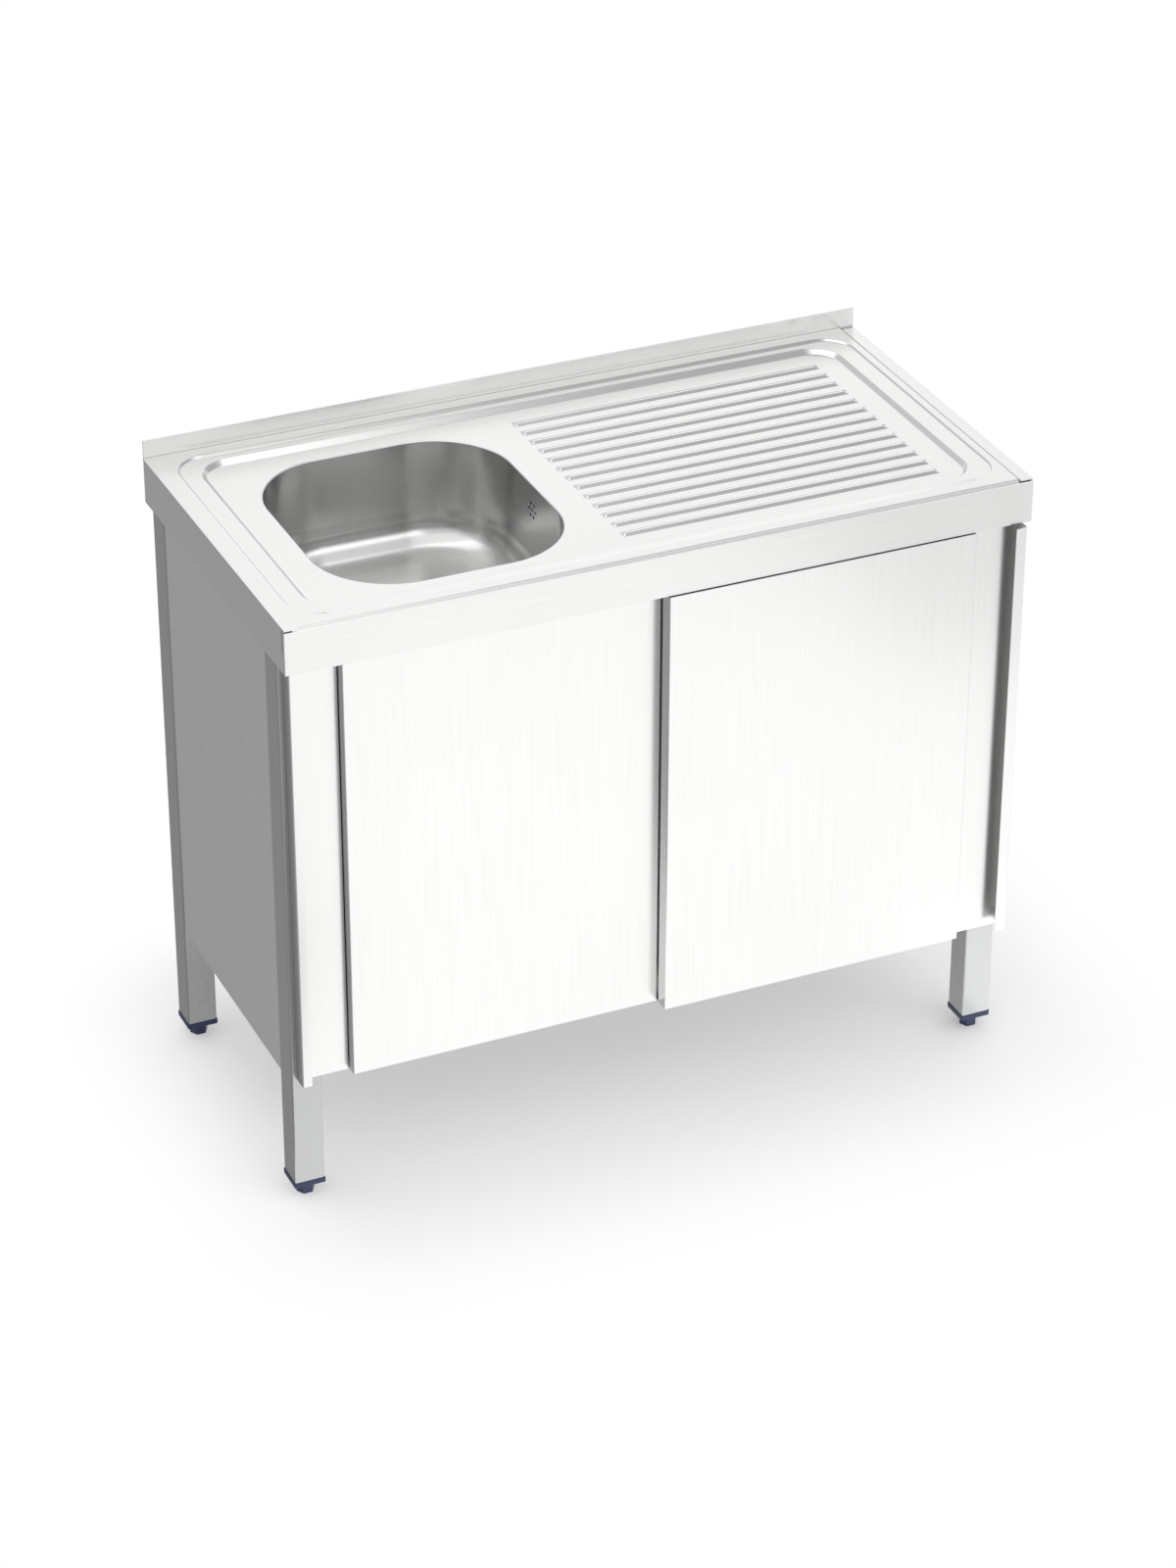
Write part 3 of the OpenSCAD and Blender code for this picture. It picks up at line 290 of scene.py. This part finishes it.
for row in range(13):
    y0 = rib_y + (row - 6) * rib_pitch
    before = set(top.verts)
    bmesh.ops.create_grid(top, x_segments=len(lengthwise) - 1, y_segments=len(across) - 1, size=1)
    for v in [v for v in top.verts if v not in before]:
        i = round((v.co.x + 1) / 2 * (len(lengthwise) - 1))
        j = round((v.co.y + 1) / 2 * (len(across) - 1))
        x, y = lengthwise[i], across[j]
        from_end = min(x - rib_x0, rib_x1 - x)
        rise = min(slope_height(abs(y), rib_foot, rib_crest), slope_height(-from_end, 0, -rib_hip))
        v.co = Vector((x, y0 + y, field_z + rib_h * rise))

# Opening for the bowl, welded and ground flush
bowl_w, bowl_d, bowl_r, bowl_c = 325, 357, 106, (-237.5, 1)
bowl_steps = 28
rim_r = 1.4
press_round(top, [(rim_r + 0.4, field_z), (rim_r, field_z - 0.03)], bowl_w, bowl_d, bowl_r, bowl_c, bowl_steps)
for level in (border_z, step_z, field_z):
    fill_level(top, level)
finish_mesh("worktop_sheet", top, "frame", worktop_steel, ("worktop",), wall=sheet, sharp=50)

# Raised side strips, turned-up edge and upstand
# The sheet is folded back on itself along both sides, 17 mm wide, and bridges the tiny front steps, so a narrow
# gap stays open under its front end. The upstand is a hemmed strip, welded behind the sheet's turned-up edge.
strip_x, crest_x, foot_z, strip_round = 482.3, 483, border_z - 0.3, 0.9
tuck_x0, tuck_x1, tuck_z0, tuck_z1 = -482.6, -489, border_z - 2.3, border_z - 0.2
tuck_y, tuck_length = front_y + 1.2, 7
turned_up_z, upstand_z = 842, 867


def round_edges(bm, edges, radius, segments=4):
    """Rounds folds and moulded edges"""
    bmesh.ops.bevel(bm, geom=edges, offset=radius, segments=segments, profile=0.5, affect="EDGES", material=-1)


for side, rear_y, name in ((-1, back_y - 3, "left_side_strip"), (1, back_y - 4.5, "right_side_strip")):
    strip = bmesh.new()
    section = [(strip_x, foot_z), (strip_x, border_z), (crest_x, rim_z), (top_w / 2, rim_z), (top_w / 2, foot_z)]
    prism(strip, [(side * x, front_y + 1, z) for x, z in section], (0, rear_y - front_y - 1, 0))
    fold = [e for e in strip.edges if lies_at(e, Z, rim_z) and lies_at(e, X, side * top_w / 2)]
    round_edges(strip, fold, strip_round)
    if side < 0:
        # The left fold's inner edge is tucked down to the sheet, so its gap is only 11 mm wide
        tuck = ((tuck_x0, tuck_z0), (tuck_x0, tuck_z1), (tuck_x1, tuck_z1), (tuck_x1, tuck_z0))
        prism(strip, [(x, tuck_y, z) for x, z in tuck], (0, tuck_length, 0))
    finish_mesh(name, strip, "frame", worktop_steel)

for name, y0, y1, z0, z1, round_off in (
        ("turned_up_edge", back_y - 3, back_y - 2.4, foot_z, turned_up_z, 0.2),
        ("rear_upstand", back_y - 2, back_y, border_z - sheet, upstand_z, 0.95)):
    strip = bmesh.new()
    prism(strip, [(-top_w / 2, y, z) for y, z in ((y0, z0), (y0, z1), (y1, z1), (y1, z0))], (top_w, 0, 0))
    hem = [e for e in strip.edges if lies_at(e, Z, z1) and abs(e.verts[0].co.x - e.verts[1].co.x) > 1]
    round_edges(strip, hem, round_off)
    finish_mesh(name, strip, "frame", worktop_steel)

# Bowl
# Deep-drawn from 1 mm sheet, with large corners and a soft swelling where the wall turns into the bottom curve,
# welded into the worktop. Seven overflow holes sit in its right wall. Its polish leaves only a faint upright grain.
bowl_steel = ground_steel("polished_steel_bowl", "#C4C4C3", "#BFBFBE", 0.25, along=Z, line_mm=2, run_mm=160,
                          spread=0.01, relief=0.006)
bowl_floor, ledge_z = 690, 728
wall_foot, curve_end = -5.5, -47
waste_r = 26
hole_r, hole_pitch, hole_z = 2.3, 9.3, 798.5
bowl = bmesh.new()
section = bend([(rim_r + 0.5, field_z), (0, field_z), (-3, ledge_z + 8), (wall_foot, ledge_z - 2),
                (wall_foot, bowl_floor), (curve_end, bowl_floor)], [rim_r, 8, 8, 34], 12)
press_round(bowl, section, bowl_w, bowl_d, bowl_r, bowl_c, bowl_steps)
bmesh.ops.create_circle(bowl, segments=64, radius=waste_r, cap_ends=False,
                        matrix=Matrix.Translation((*bowl_c, bowl_floor)))
fill_level(bowl, bowl_floor)
# The flat of the right wall is closed again round the overflow holes
wall_face = max((f for f in bowl.faces if f.calc_center_median().x > bowl_c[0] + 150), key=lambda f: f.calc_area())
low, high = (sorted({round(v.co.z, 3) for v in wall_face.verts})[i] for i in (0, -1))
x_low, x_high = (max(v.co.x for v in wall_face.verts if abs(v.co.z - z) < 0.01) for z in (low, high))
rim = list(wall_face.edges)
bmesh.ops.delete(bowl, geom=[wall_face], context="FACES_ONLY")
for row in (-1, 0, 1):
    for hole in range(3 - abs(row)):
        y = bowl_c[1] + (hole - (2 - abs(row)) / 2) * hole_pitch
        z = hole_z + row * hole_pitch * math.sin(math.radians(60))
        ring = bmesh.ops.create_circle(bowl, segments=16, radius=hole_r, cap_ends=False,
                                       matrix=Matrix.Translation((0, y, z)) @ Matrix.Rotation(math.pi / 2, 4, "Y"))
        for v in ring["verts"]:
            v.co.x = x_low + (x_high - x_low) * (v.co.z - low) / (high - low)
        rim += list({e for v in ring["verts"] for e in v.link_edges})
bmesh.ops.triangle_fill(bowl, edges=rim, use_beauty=True, use_dissolve=False, normal=(-1, 0, 0))
finish_mesh("bowl_shell", bowl, "frame", bowl_steel, ("sink_bowl",), wall=sheet, sharp=60)

# Side panels
# Folded trays of 1 mm sheet between the legs, 1 mm behind their outer faces, with a 15 mm edge all round. Their
# upright grain is the coarsest of the unit and shows as faint streaks.
panel_steel = ground_steel("ground_steel_side", "#D0D0CF", "#CCCCCB", 0.26, along=Z, relief=0.03)
panel_x, panel_y0, panel_y1, panel_z0, panel_z1 = 497.5, -170, 189.5, 175, 807
panel_edge = 15
for side, name in ((-1, "left_side_panel"), (1, "right_side_panel")):
    tray = bmesh.new()
    corners = [(side * panel_x, y, z) for y, z in
               ((panel_y0, panel_z0), (panel_y1, panel_z0), (panel_y1, panel_z1), (panel_y0, panel_z1))]
    prism(tray, corners, (-side * panel_edge, 0, 0))
    inner = [f for f in tray.faces if lies_at(f, X, side * (panel_x - panel_edge))]
    bmesh.ops.delete(tray, geom=inner, context="FACES_ONLY")
    round_edges(tray, [e for e in tray.edges if lies_at(e, X, side * panel_x)], 1.3)
    finish_mesh(f"{name}_tray", tray, "frame", panel_steel, (name,), wall=sheet)

# End covers
# The left cover is one folded strip with a narrow lip at the front. The right one stands further out, and its lip
# and its filler are two sheets welded together. Covers and doors are ground upright, with a grain that hardly shows.
sheet_steel = ground_steel("ground_steel_cabinet", "#D1D1D0", "#CCCCCB", 0.24, along=Z, relief=0.008)
cover_z0, cover_z1, lip_z1 = 182.7, 784, 777
left_lip_y, left_web_y, right_lip_y, right_web_y = -229, -211, -254, -236
cover_x, web_x, left_lip_x, right_lip_x, leg_face_y, shelf_y = 490.5, 422, 478, 475.5, -210, -201
fold_r = 1.5


def upright(bm, line, z0, z1):
    """Draws a line of (x, y) points up to a sheet"""
    points = [bm.verts.new((x, y, z0)) for x, y in line]
    grown = bmesh.ops.extrude_edge_only(bm, edges=[bm.edges.new(pair) for pair in zip(points, points[1:])])
    bmesh.ops.translate(bm, verts=only(bmesh.types.BMVert, grown["geom"]), vec=(0, 0, z1 - z0))


for name, stands_for, line, top_z in (
        ("left_cover_lip", ("left_end_cover",),
         [(-left_lip_x, left_lip_y), (-cover_x, left_lip_y), (-cover_x, left_web_y + 0.4)], lip_z1),
        ("left_cover_web", (),
         [(-cover_x, left_web_y), (-web_x, left_web_y), (-web_x, shelf_y)], cover_z1),
        ("right_cover_lip", ("right_end_cover",),
         [(right_lip_x, right_lip_y), (cover_x, right_lip_y), (cover_x, leg_face_y), (right_lip_x, leg_face_y)],
         lip_z1),
        ("right_cover_web", (),
         [(cover_x - sheet, right_web_y), (web_x, right_web_y), (web_x, shelf_y)], cover_z1)):
    cover = bmesh.new()
    upright(cover, bend(line, [fold_r] * (len(line) - 2)), cover_z0, top_z)
    finish_mesh(name, cover, "frame", sheet_steel, stands_for, wall=sheet)

# Door skins
# Trays of 1 mm sheet with the upright edges folded back over the full 20 mm and short folds above and below. The
# sheet and its grain are the covers' own.
door_w, door_t, door_z0, door_z1 = 423.5, 20, 182.7, 779.2
door_x, left_door_y, right_door_y = 209.75, -225.7, -249.3
level_fold, level_fold_r = 6, 0.6
for name, centre, front in (("left_door", -door_x, left_door_y), ("right_door", door_x, right_door_y)):
    skin = bmesh.new()
    corners = [(centre + x, front, z) for x, z in ((-door_w / 2, door_z0), (door_w / 2, door_z0),
                                                   (door_w / 2, door_z1), (-door_w / 2, door_z1))]
    prism(skin, corners, (0, door_t, 0))
    cut(skin, [f for f in skin.faces if lies_at(f, Z, door_z1) or lies_at(f, Z, door_z0)],
        (0, front + level_fold, 0), (0, 1, 0))
    back = [f for f in skin.faces if lies_at(f, Y, front + door_t)
            or ((lies_at(f, Z, door_z1) or lies_at(f, Z, door_z0))
                and f.calc_center_median().y > front + level_fold)]
    bmesh.ops.delete(skin, geom=back, context="FACES_ONLY")
    for is_upright, radius in ((True, fold_r), (False, level_fold_r)):
        folds = [e for e in skin.edges if all(v.co.y < front + 0.1 for v in e.verts)
                 and (abs(e.verts[0].co.z - e.verts[1].co.z) > 1) == is_upright]
        round_edges(skin, folds, radius)
    finish_mesh(f"{name}_front", skin, name, sheet_steel, (f"{name}_skin",), wall=sheet)

# Leg caps and feet
# Navy-blue moulded polyamide: a square plate under each tube with a plug inside it, and a screw foot whose
# hexagon takes a spanner. The matt eroded grain keeps the highlights wide and dull.


def plain_plastic(name, tone, dark_tone, roughness, grain_mm):
    """Injection-moulded plastic with the fine matt grain of an eroded mould"""
    material, tree = blank_material(name)
    place = add(tree, "ShaderNodeTexCoord")
    grain = add(tree, "ShaderNodeTexNoise", {"Scale": 1000 / grain_mm, "Detail": 2.0},
                {"Vector": place.outputs["Object"]})
    clouds = add(tree, "ShaderNodeTexNoise", {"Scale": 60.0, "Detail": 2.0}, {"Vector": place.outputs["Object"]})
    shade = add(tree, "ShaderNodeMix", {"A": colour(dark_tone), "B": colour(tone)},
                {"Factor": clouds.outputs["Fac"]}, data_type="RGBA")
    rough = add(tree, "ShaderNodeMapRange", {"To Min": roughness - 0.06, "To Max": roughness + 0.06},
                {"Value": clouds.outputs["Fac"]})
    bump = add(tree, "ShaderNodeBump", {"Strength": 0.12, "Distance": 0.0001}, {"Height": grain.outputs["Fac"]})
    shader = add(tree, "ShaderNodeBsdfPrincipled", {"IOR": 1.49},
                 {"Base Color": shade.outputs["Result"], "Roughness": rough.outputs["Result"],
                  "Normal": bump.outputs["Normal"]})
    add(tree, "ShaderNodeOutputMaterial", links={"Surface": shader.outputs["BSDF"]})
    return material


blue_plastic = plain_plastic("moulded_polyamide_blue", "#14204E", "#0F1940", 0.42, 0.8)
leg_x, leg_front_y, leg_rear_y = 478.5, -190, 211
hexagon_r, hexagon_h, chamfer, edge_round = 12.3, 18.7, 1.4, 0.35
stem_r, stem_h, stem_mid_z = 5, 62, 49
thread_depth, thread_pitch, thread_z, thread_turns, thread_steps = 0.6, 1.5, 18, 40, 20
for side, side_name in ((-1, "left"), (1, "right")):
    for y, end_name in ((leg_front_y, "front"), (leg_rear_y, "rear")):
        x = side * leg_x
        plate = bmesh.new()
        # First the plate under the tube, then the plug inside it
        for half, z0, z1, corner_r, edge_r in ((21, 19, 26.5, 2, 0.8), (18.4, 26.5, 52.5, 1, 0.3)):
            before = set(plate.edges)
            corners = [(x + i * half, y + j * half, z0) for i, j in ((-1, -1), (1, -1), (1, 1), (-1, 1))]
            prism(plate, corners, (0, 0, z1 - z0))
            upright_edges = [e for e in plate.edges
                             if e not in before and abs(e.verts[0].co.z - e.verts[1].co.z) > 1]
            round_edges(plate, upright_edges, corner_r)
            level = [e for e in plate.edges if e not in before and abs(e.verts[0].co.z - e.verts[1].co.z) < 0.01
                     and len(e.link_faces) == 2 and e.calc_face_angle() > 1]
            round_edges(plate, level, edge_r, segments=2)
        finish_mesh(f"cap_{end_name}_{side_name}_moulding", plate, "frame", blue_plastic,
                    (f"cap_{end_name}_{side_name}",))

        foot = bmesh.new()
        bmesh.ops.create_circle(foot, segments=6, radius=hexagon_r, cap_ends=True,
                                matrix=Matrix.Translation((x, y, 0)) @ Matrix.Rotation(math.pi / 2, 4, "Z"))
        grown = bmesh.ops.extrude_face_region(foot, geom=list(foot.faces))
        bmesh.ops.translate(foot, verts=only(bmesh.types.BMVert, grown["geom"]), vec=(0, 0, hexagon_h))
        round_edges(foot, [e for e in foot.edges if lies_at(e, Z, 0)], chamfer, segments=1)
        round_edges(foot, [e for e in foot.edges if e.calc_face_angle(0) > 0.6], edge_round, segments=2)
        bmesh.ops.create_cone(foot, cap_ends=True, segments=20, radius1=stem_r - thread_depth, radius2=stem_r - 1.5,
                              depth=stem_h, matrix=Matrix.Translation((x, y, stem_mid_z)))
        # Screw thread of 1.5 mm pitch, drawn as one tooth wound up the stem
        tooth = [foot.verts.new((x + stem_r - d, y, thread_z + h)) for d, h in
                 ((0, 0), (thread_depth, 0.6), (0, thread_pitch))]
        bmesh.ops.spin(foot, geom=tooth + [foot.edges.new(pair) for pair in zip(tooth, tooth[1:])], cent=(x, y, 0),
                       axis=(0, 0, 1), dvec=(0, 0, thread_pitch / thread_steps), angle=2 * math.pi * thread_turns,
                       steps=thread_steps * thread_turns, use_merge=False, use_duplicate=False)
        bmesh.ops.remove_doubles(foot, verts=foot.verts, dist=same_place)
        bmesh.ops.holes_fill(foot, edges=[e for e in foot.edges if e.is_boundary], sides=0)
        finish_mesh(f"foot_{end_name}_{side_name}_moulding", foot, f"foot_{end_name}_{side_name}",
                    blue_plastic, (f"foot_{end_name}_{side_name}",), sharp=25)

# Materials of the nodes that stay as they are
# Welded square tube is ground duller than the sheet, and its darker tone is partly painted shade for the shaded floor
# its faces reflect. Hidden rails and stiffeners keep their mill finish, dull and darker. Rollers, guides, waste body
# and pipe are white and satin. Seals, stops and plug are black and nearly matt.
# The tube's tone is set darker than the sheet's: partly a duller grind, partly painted shade of the floor it reflects
leg_steel = ground_steel("ground_steel_tube_painted_shade", "#A9AAAA", "#A3A4A4", 0.28, along=Z, spread=0.02)
frame_steel = ground_steel("mill_steel_inside", "#A8A8A8", "#9E9E9E", 0.4, along=X)
white_plastic = plain_plastic("moulded_polypropylene_white", "#E4E4E0", "#DADAD6", 0.4, 0.8)
black_rubber = plain_plastic("nitrile_rubber_black", "#2A2A2A", "#222222", 0.6, 0.6)
by_slot = {"worktop_steel": worktop_steel, "sheet_steel": sheet_steel, "leg_steel": leg_steel,
           "frame_steel": frame_steel, "bright_fittings": bowl_steel, "blue_plastic": blue_plastic,
           "white_plastic": white_plastic, "black_rubber": black_rubber}
for part in frame["record"]["subparts"]:
    mesh = nodes[part["node"]].data
    mesh.materials.clear()
    mesh.materials.append(by_slot[part["material_slot"]])
nodes["back_panel"].data.materials[0] = panel_steel

# Studio
# A white floor that keeps the soft shadow near the unit, paled by a painted glow, and runs into the white surroundings
# further out, cards that only the reflections show, and one large soft lamp from the front right.
studio_floor = bmesh.new()
bmesh.ops.create_grid(studio_floor, x_segments=2, y_segments=2, size=14)
floor_mesh = bpy.data.meshes.new("studio_floor")
studio_floor.to_mesh(floor_mesh)
studio_floor.free()
floor = bpy.data.objects.new("studio_floor", floor_mesh)
scene.collection.objects.link(floor)
paper, tree = blank_material("white_paper_floor")
place = add(tree, "ShaderNodeTexCoord")
# The way out from the shadow's own rectangle, beyond which the paper turns into plain white over 0.28 m: a painted
# glow that cuts the real shadow off there
shadow_centre, shadow_half, fade = (0.06, -0.02, 0), (0.46, 0.25, 0), 0.28
from_centre = add(tree, "ShaderNodeVectorMath", {1: shadow_centre}, {0: place.outputs["Object"]},
                  operation="SUBTRACT")
to_side = add(tree, "ShaderNodeVectorMath", links={0: from_centre.outputs["Vector"]}, operation="ABSOLUTE")
beyond = add(tree, "ShaderNodeVectorMath", {1: shadow_half}, {0: to_side.outputs["Vector"]}, operation="SUBTRACT")
outside = add(tree, "ShaderNodeVectorMath", {1: (0, 0, 0)}, {0: beyond.outputs["Vector"]}, operation="MAXIMUM")
distance = add(tree, "ShaderNodeVectorMath", links={0: outside.outputs["Vector"]}, operation="LENGTH")
# Even inside the rectangle a fifth of the paper glows white, a painted light that makes the real shadow paler
glow_share = add(tree, "ShaderNodeMapRange", {"From Min": 0.0, "From Max": fade, "To Min": 0.2, "To Max": 1.0},
           {"Value": distance.outputs["Value"]}, interpolation_type="SMOOTHSTEP")
matt = add(tree, "ShaderNodeBsdfDiffuse", {"Color": colour("#F7F7F7")})
shadow_paling_glow = add(tree, "ShaderNodeEmission", {"Color": (1, 1, 1, 1), "Strength": 1.0})
mixed = add(tree, "ShaderNodeMixShader", links={0: glow_share.outputs["Result"], 1: matt.outputs["BSDF"],
                                               2: shadow_paling_glow.outputs["Emission"]})
add(tree, "ShaderNodeOutputMaterial", links={"Surface": mixed.outputs["Shader"]})
floor_mesh.materials.append(paper)

# White for the camera and in reflections, and 5 percent less as light
world = bpy.data.worlds.new("studio_surroundings")
scene.world = world
world.use_nodes = True
tree = world.node_tree
tree.nodes.clear()
ray = add(tree, "ShaderNodeLightPath")
mirrored = add(tree, "ShaderNodeMath", links={0: ray.outputs["Is Camera Ray"], 1: ray.outputs["Is Glossy Ray"]},
               operation="ADD")
seen = add(tree, "ShaderNodeMath", links={0: mirrored.outputs["Value"], 1: ray.outputs["Is Transmission Ray"]},
           operation="ADD", use_clamp=True)
strength = add(tree, "ShaderNodeMapRange", {"To Min": 0.95, "To Max": 1.0}, {"Value": seen.outputs["Value"]})
surround = add(tree, "ShaderNodeBackground", {"Color": (1, 1, 1, 1)}, {"Strength": strength.outputs["Result"]})
add(tree, "ShaderNodeOutputWorld", links={"Surface": surround.outputs["Background"]})


def lying(x0, x1, y0, y1, z):
    """Corners of a card that lies level"""
    return [(x0, y0, z), (x1, y0, z), (x1, y1, z), (x0, y1, z)]


def standing(x0, x1, z0, z1, y):
    """Corners of a card that stands behind the unit"""
    return [(x0, y, z0), (x1, y, z0), (x1, y, z1), (x0, y, z1)]


# Cards as a photographer sets them round polished metal, each with its brightness. They show in reflections only.
for name, strength, corners in (
        ("card_front", 1.56, lying(-7, 7, -0.2, -9, 0.003)),
        ("card_front_near", 2.0, lying(0.5, 0.8, -0.2, -0.5, 0.005)),
        ("card_front_left", 0.5, [(-0.6, -0.2, 0.005), (-0.3, -0.8, 0.005), (-0.3, -9, 0.005), (-7, -9, 0.005),
                                  (-7, -0.2, 0.005)]),
        ("card_front_far", 1.5, lying(-0.3, 0.9, -1.4, -9, 0.005)),
        ("card_front_right", 1.15, lying(0.9, 7, -1.2, -9, 0.005)),
        ("card_left", 0.43, lying(-7, -0.502, -0.2, 7, 0.004)),
        ("card_back", 1.5, standing(1.2, 12, 0, 9, 6)),
        ("card_back_dim", 1.0, standing(-2, 1.2, 0, 9, 6)),
        ("card_back_dark", 0.8, standing(-9, -2, 0, 9, 6)),
        ("card_horizon", 0.35, standing(3.6, 4.8, 1.2, 2.9, 5.9)),
        ("card_behind_low", 0.25, lying(0.7, 2.4, 1.5, 4, 0.004)),
        ("card_above_left", 1.45, lying(-4, 0.7, -3, 1.8, 3.5)),
        ("card_above_bright", 2.3, lying(-4, 0.7, 0, 0.7, 3.49)),
        ("card_above_rear", 2.2, lying(-4, 0.7, 0.95, 1.8, 3.49)),
        ("card_above_middle", 0.95, lying(0.7, 1.02, -3, 1.8, 3.5)),
        ("card_above_front", 1.0, lying(1.02, 6, -3, -0.8, 3.5)),
        ("card_above_right", 0.62, lying(1.02, 6, -0.8, 3, 3.5))):
    card = bmesh.new()
    card.faces.new([card.verts.new(c) for c in corners])
    mesh = bpy.data.meshes.new(name)
    card.to_mesh(mesh)
    card.free()
    obj = bpy.data.objects.new(name, mesh)
    scene.collection.objects.link(obj)
    obj.visible_camera = False
    obj.visible_diffuse = False
    obj.visible_shadow = False
    material, tree = blank_material(name)
    light = add(tree, "ShaderNodeEmission", {"Color": (1, 1, 1, 1), "Strength": strength})
    add(tree, "ShaderNodeOutputMaterial", links={"Surface": light.outputs["Emission"]})
    mesh.materials.append(material)

lamp_data = bpy.data.lights.new("soft_lamp", "AREA")
lamp_data.shape = "RECTANGLE"
lamp_data.size = 5.0
lamp_data.size_y = 3.6
lamp_data.energy = 66
lamp = bpy.data.objects.new("soft_lamp", lamp_data)
lamp.location = (1.77, -3.94, 3.36)
worktop_middle = Vector((0, 0, 0.84))
lamp.rotation_euler = (worktop_middle - lamp.location).to_track_quat("-Z", "Y").to_euler()
lamp.visible_camera = False
scene.collection.objects.link(lamp)

# Camera
# Its place and turn were solved from the worktop's corners, the legs and the ribs in the photograph. The focal
# length came out of that in pixels of the 1200 x 1600 frame.
azimuth, elevation, roll = math.radians(-24.116), math.radians(30.297), math.radians(0.128)
focal_px, frame_px, sensor_mm = 4578.4, 1600, 36
back = Vector((math.sin(azimuth) * math.cos(elevation), -math.cos(azimuth) * math.cos(elevation), math.sin(elevation)))
camera_data = bpy.data.cameras.new("camera")
camera_data.sensor_width = sensor_mm
camera_data.lens = focal_px / frame_px * sensor_mm
camera_data.clip_end = 60
camera = bpy.data.objects.new("camera", camera_data)
camera.rotation_mode = "QUATERNION"
camera.location = (-2.0644, -4.6133, 3.3373)
camera.rotation_quaternion = (-back).to_track_quat("-Z", "Y") @ Euler((0, 0, roll)).to_quaternion()
scene.collection.objects.link(camera)
scene.camera = camera
scene.view_settings.view_transform = "Standard"
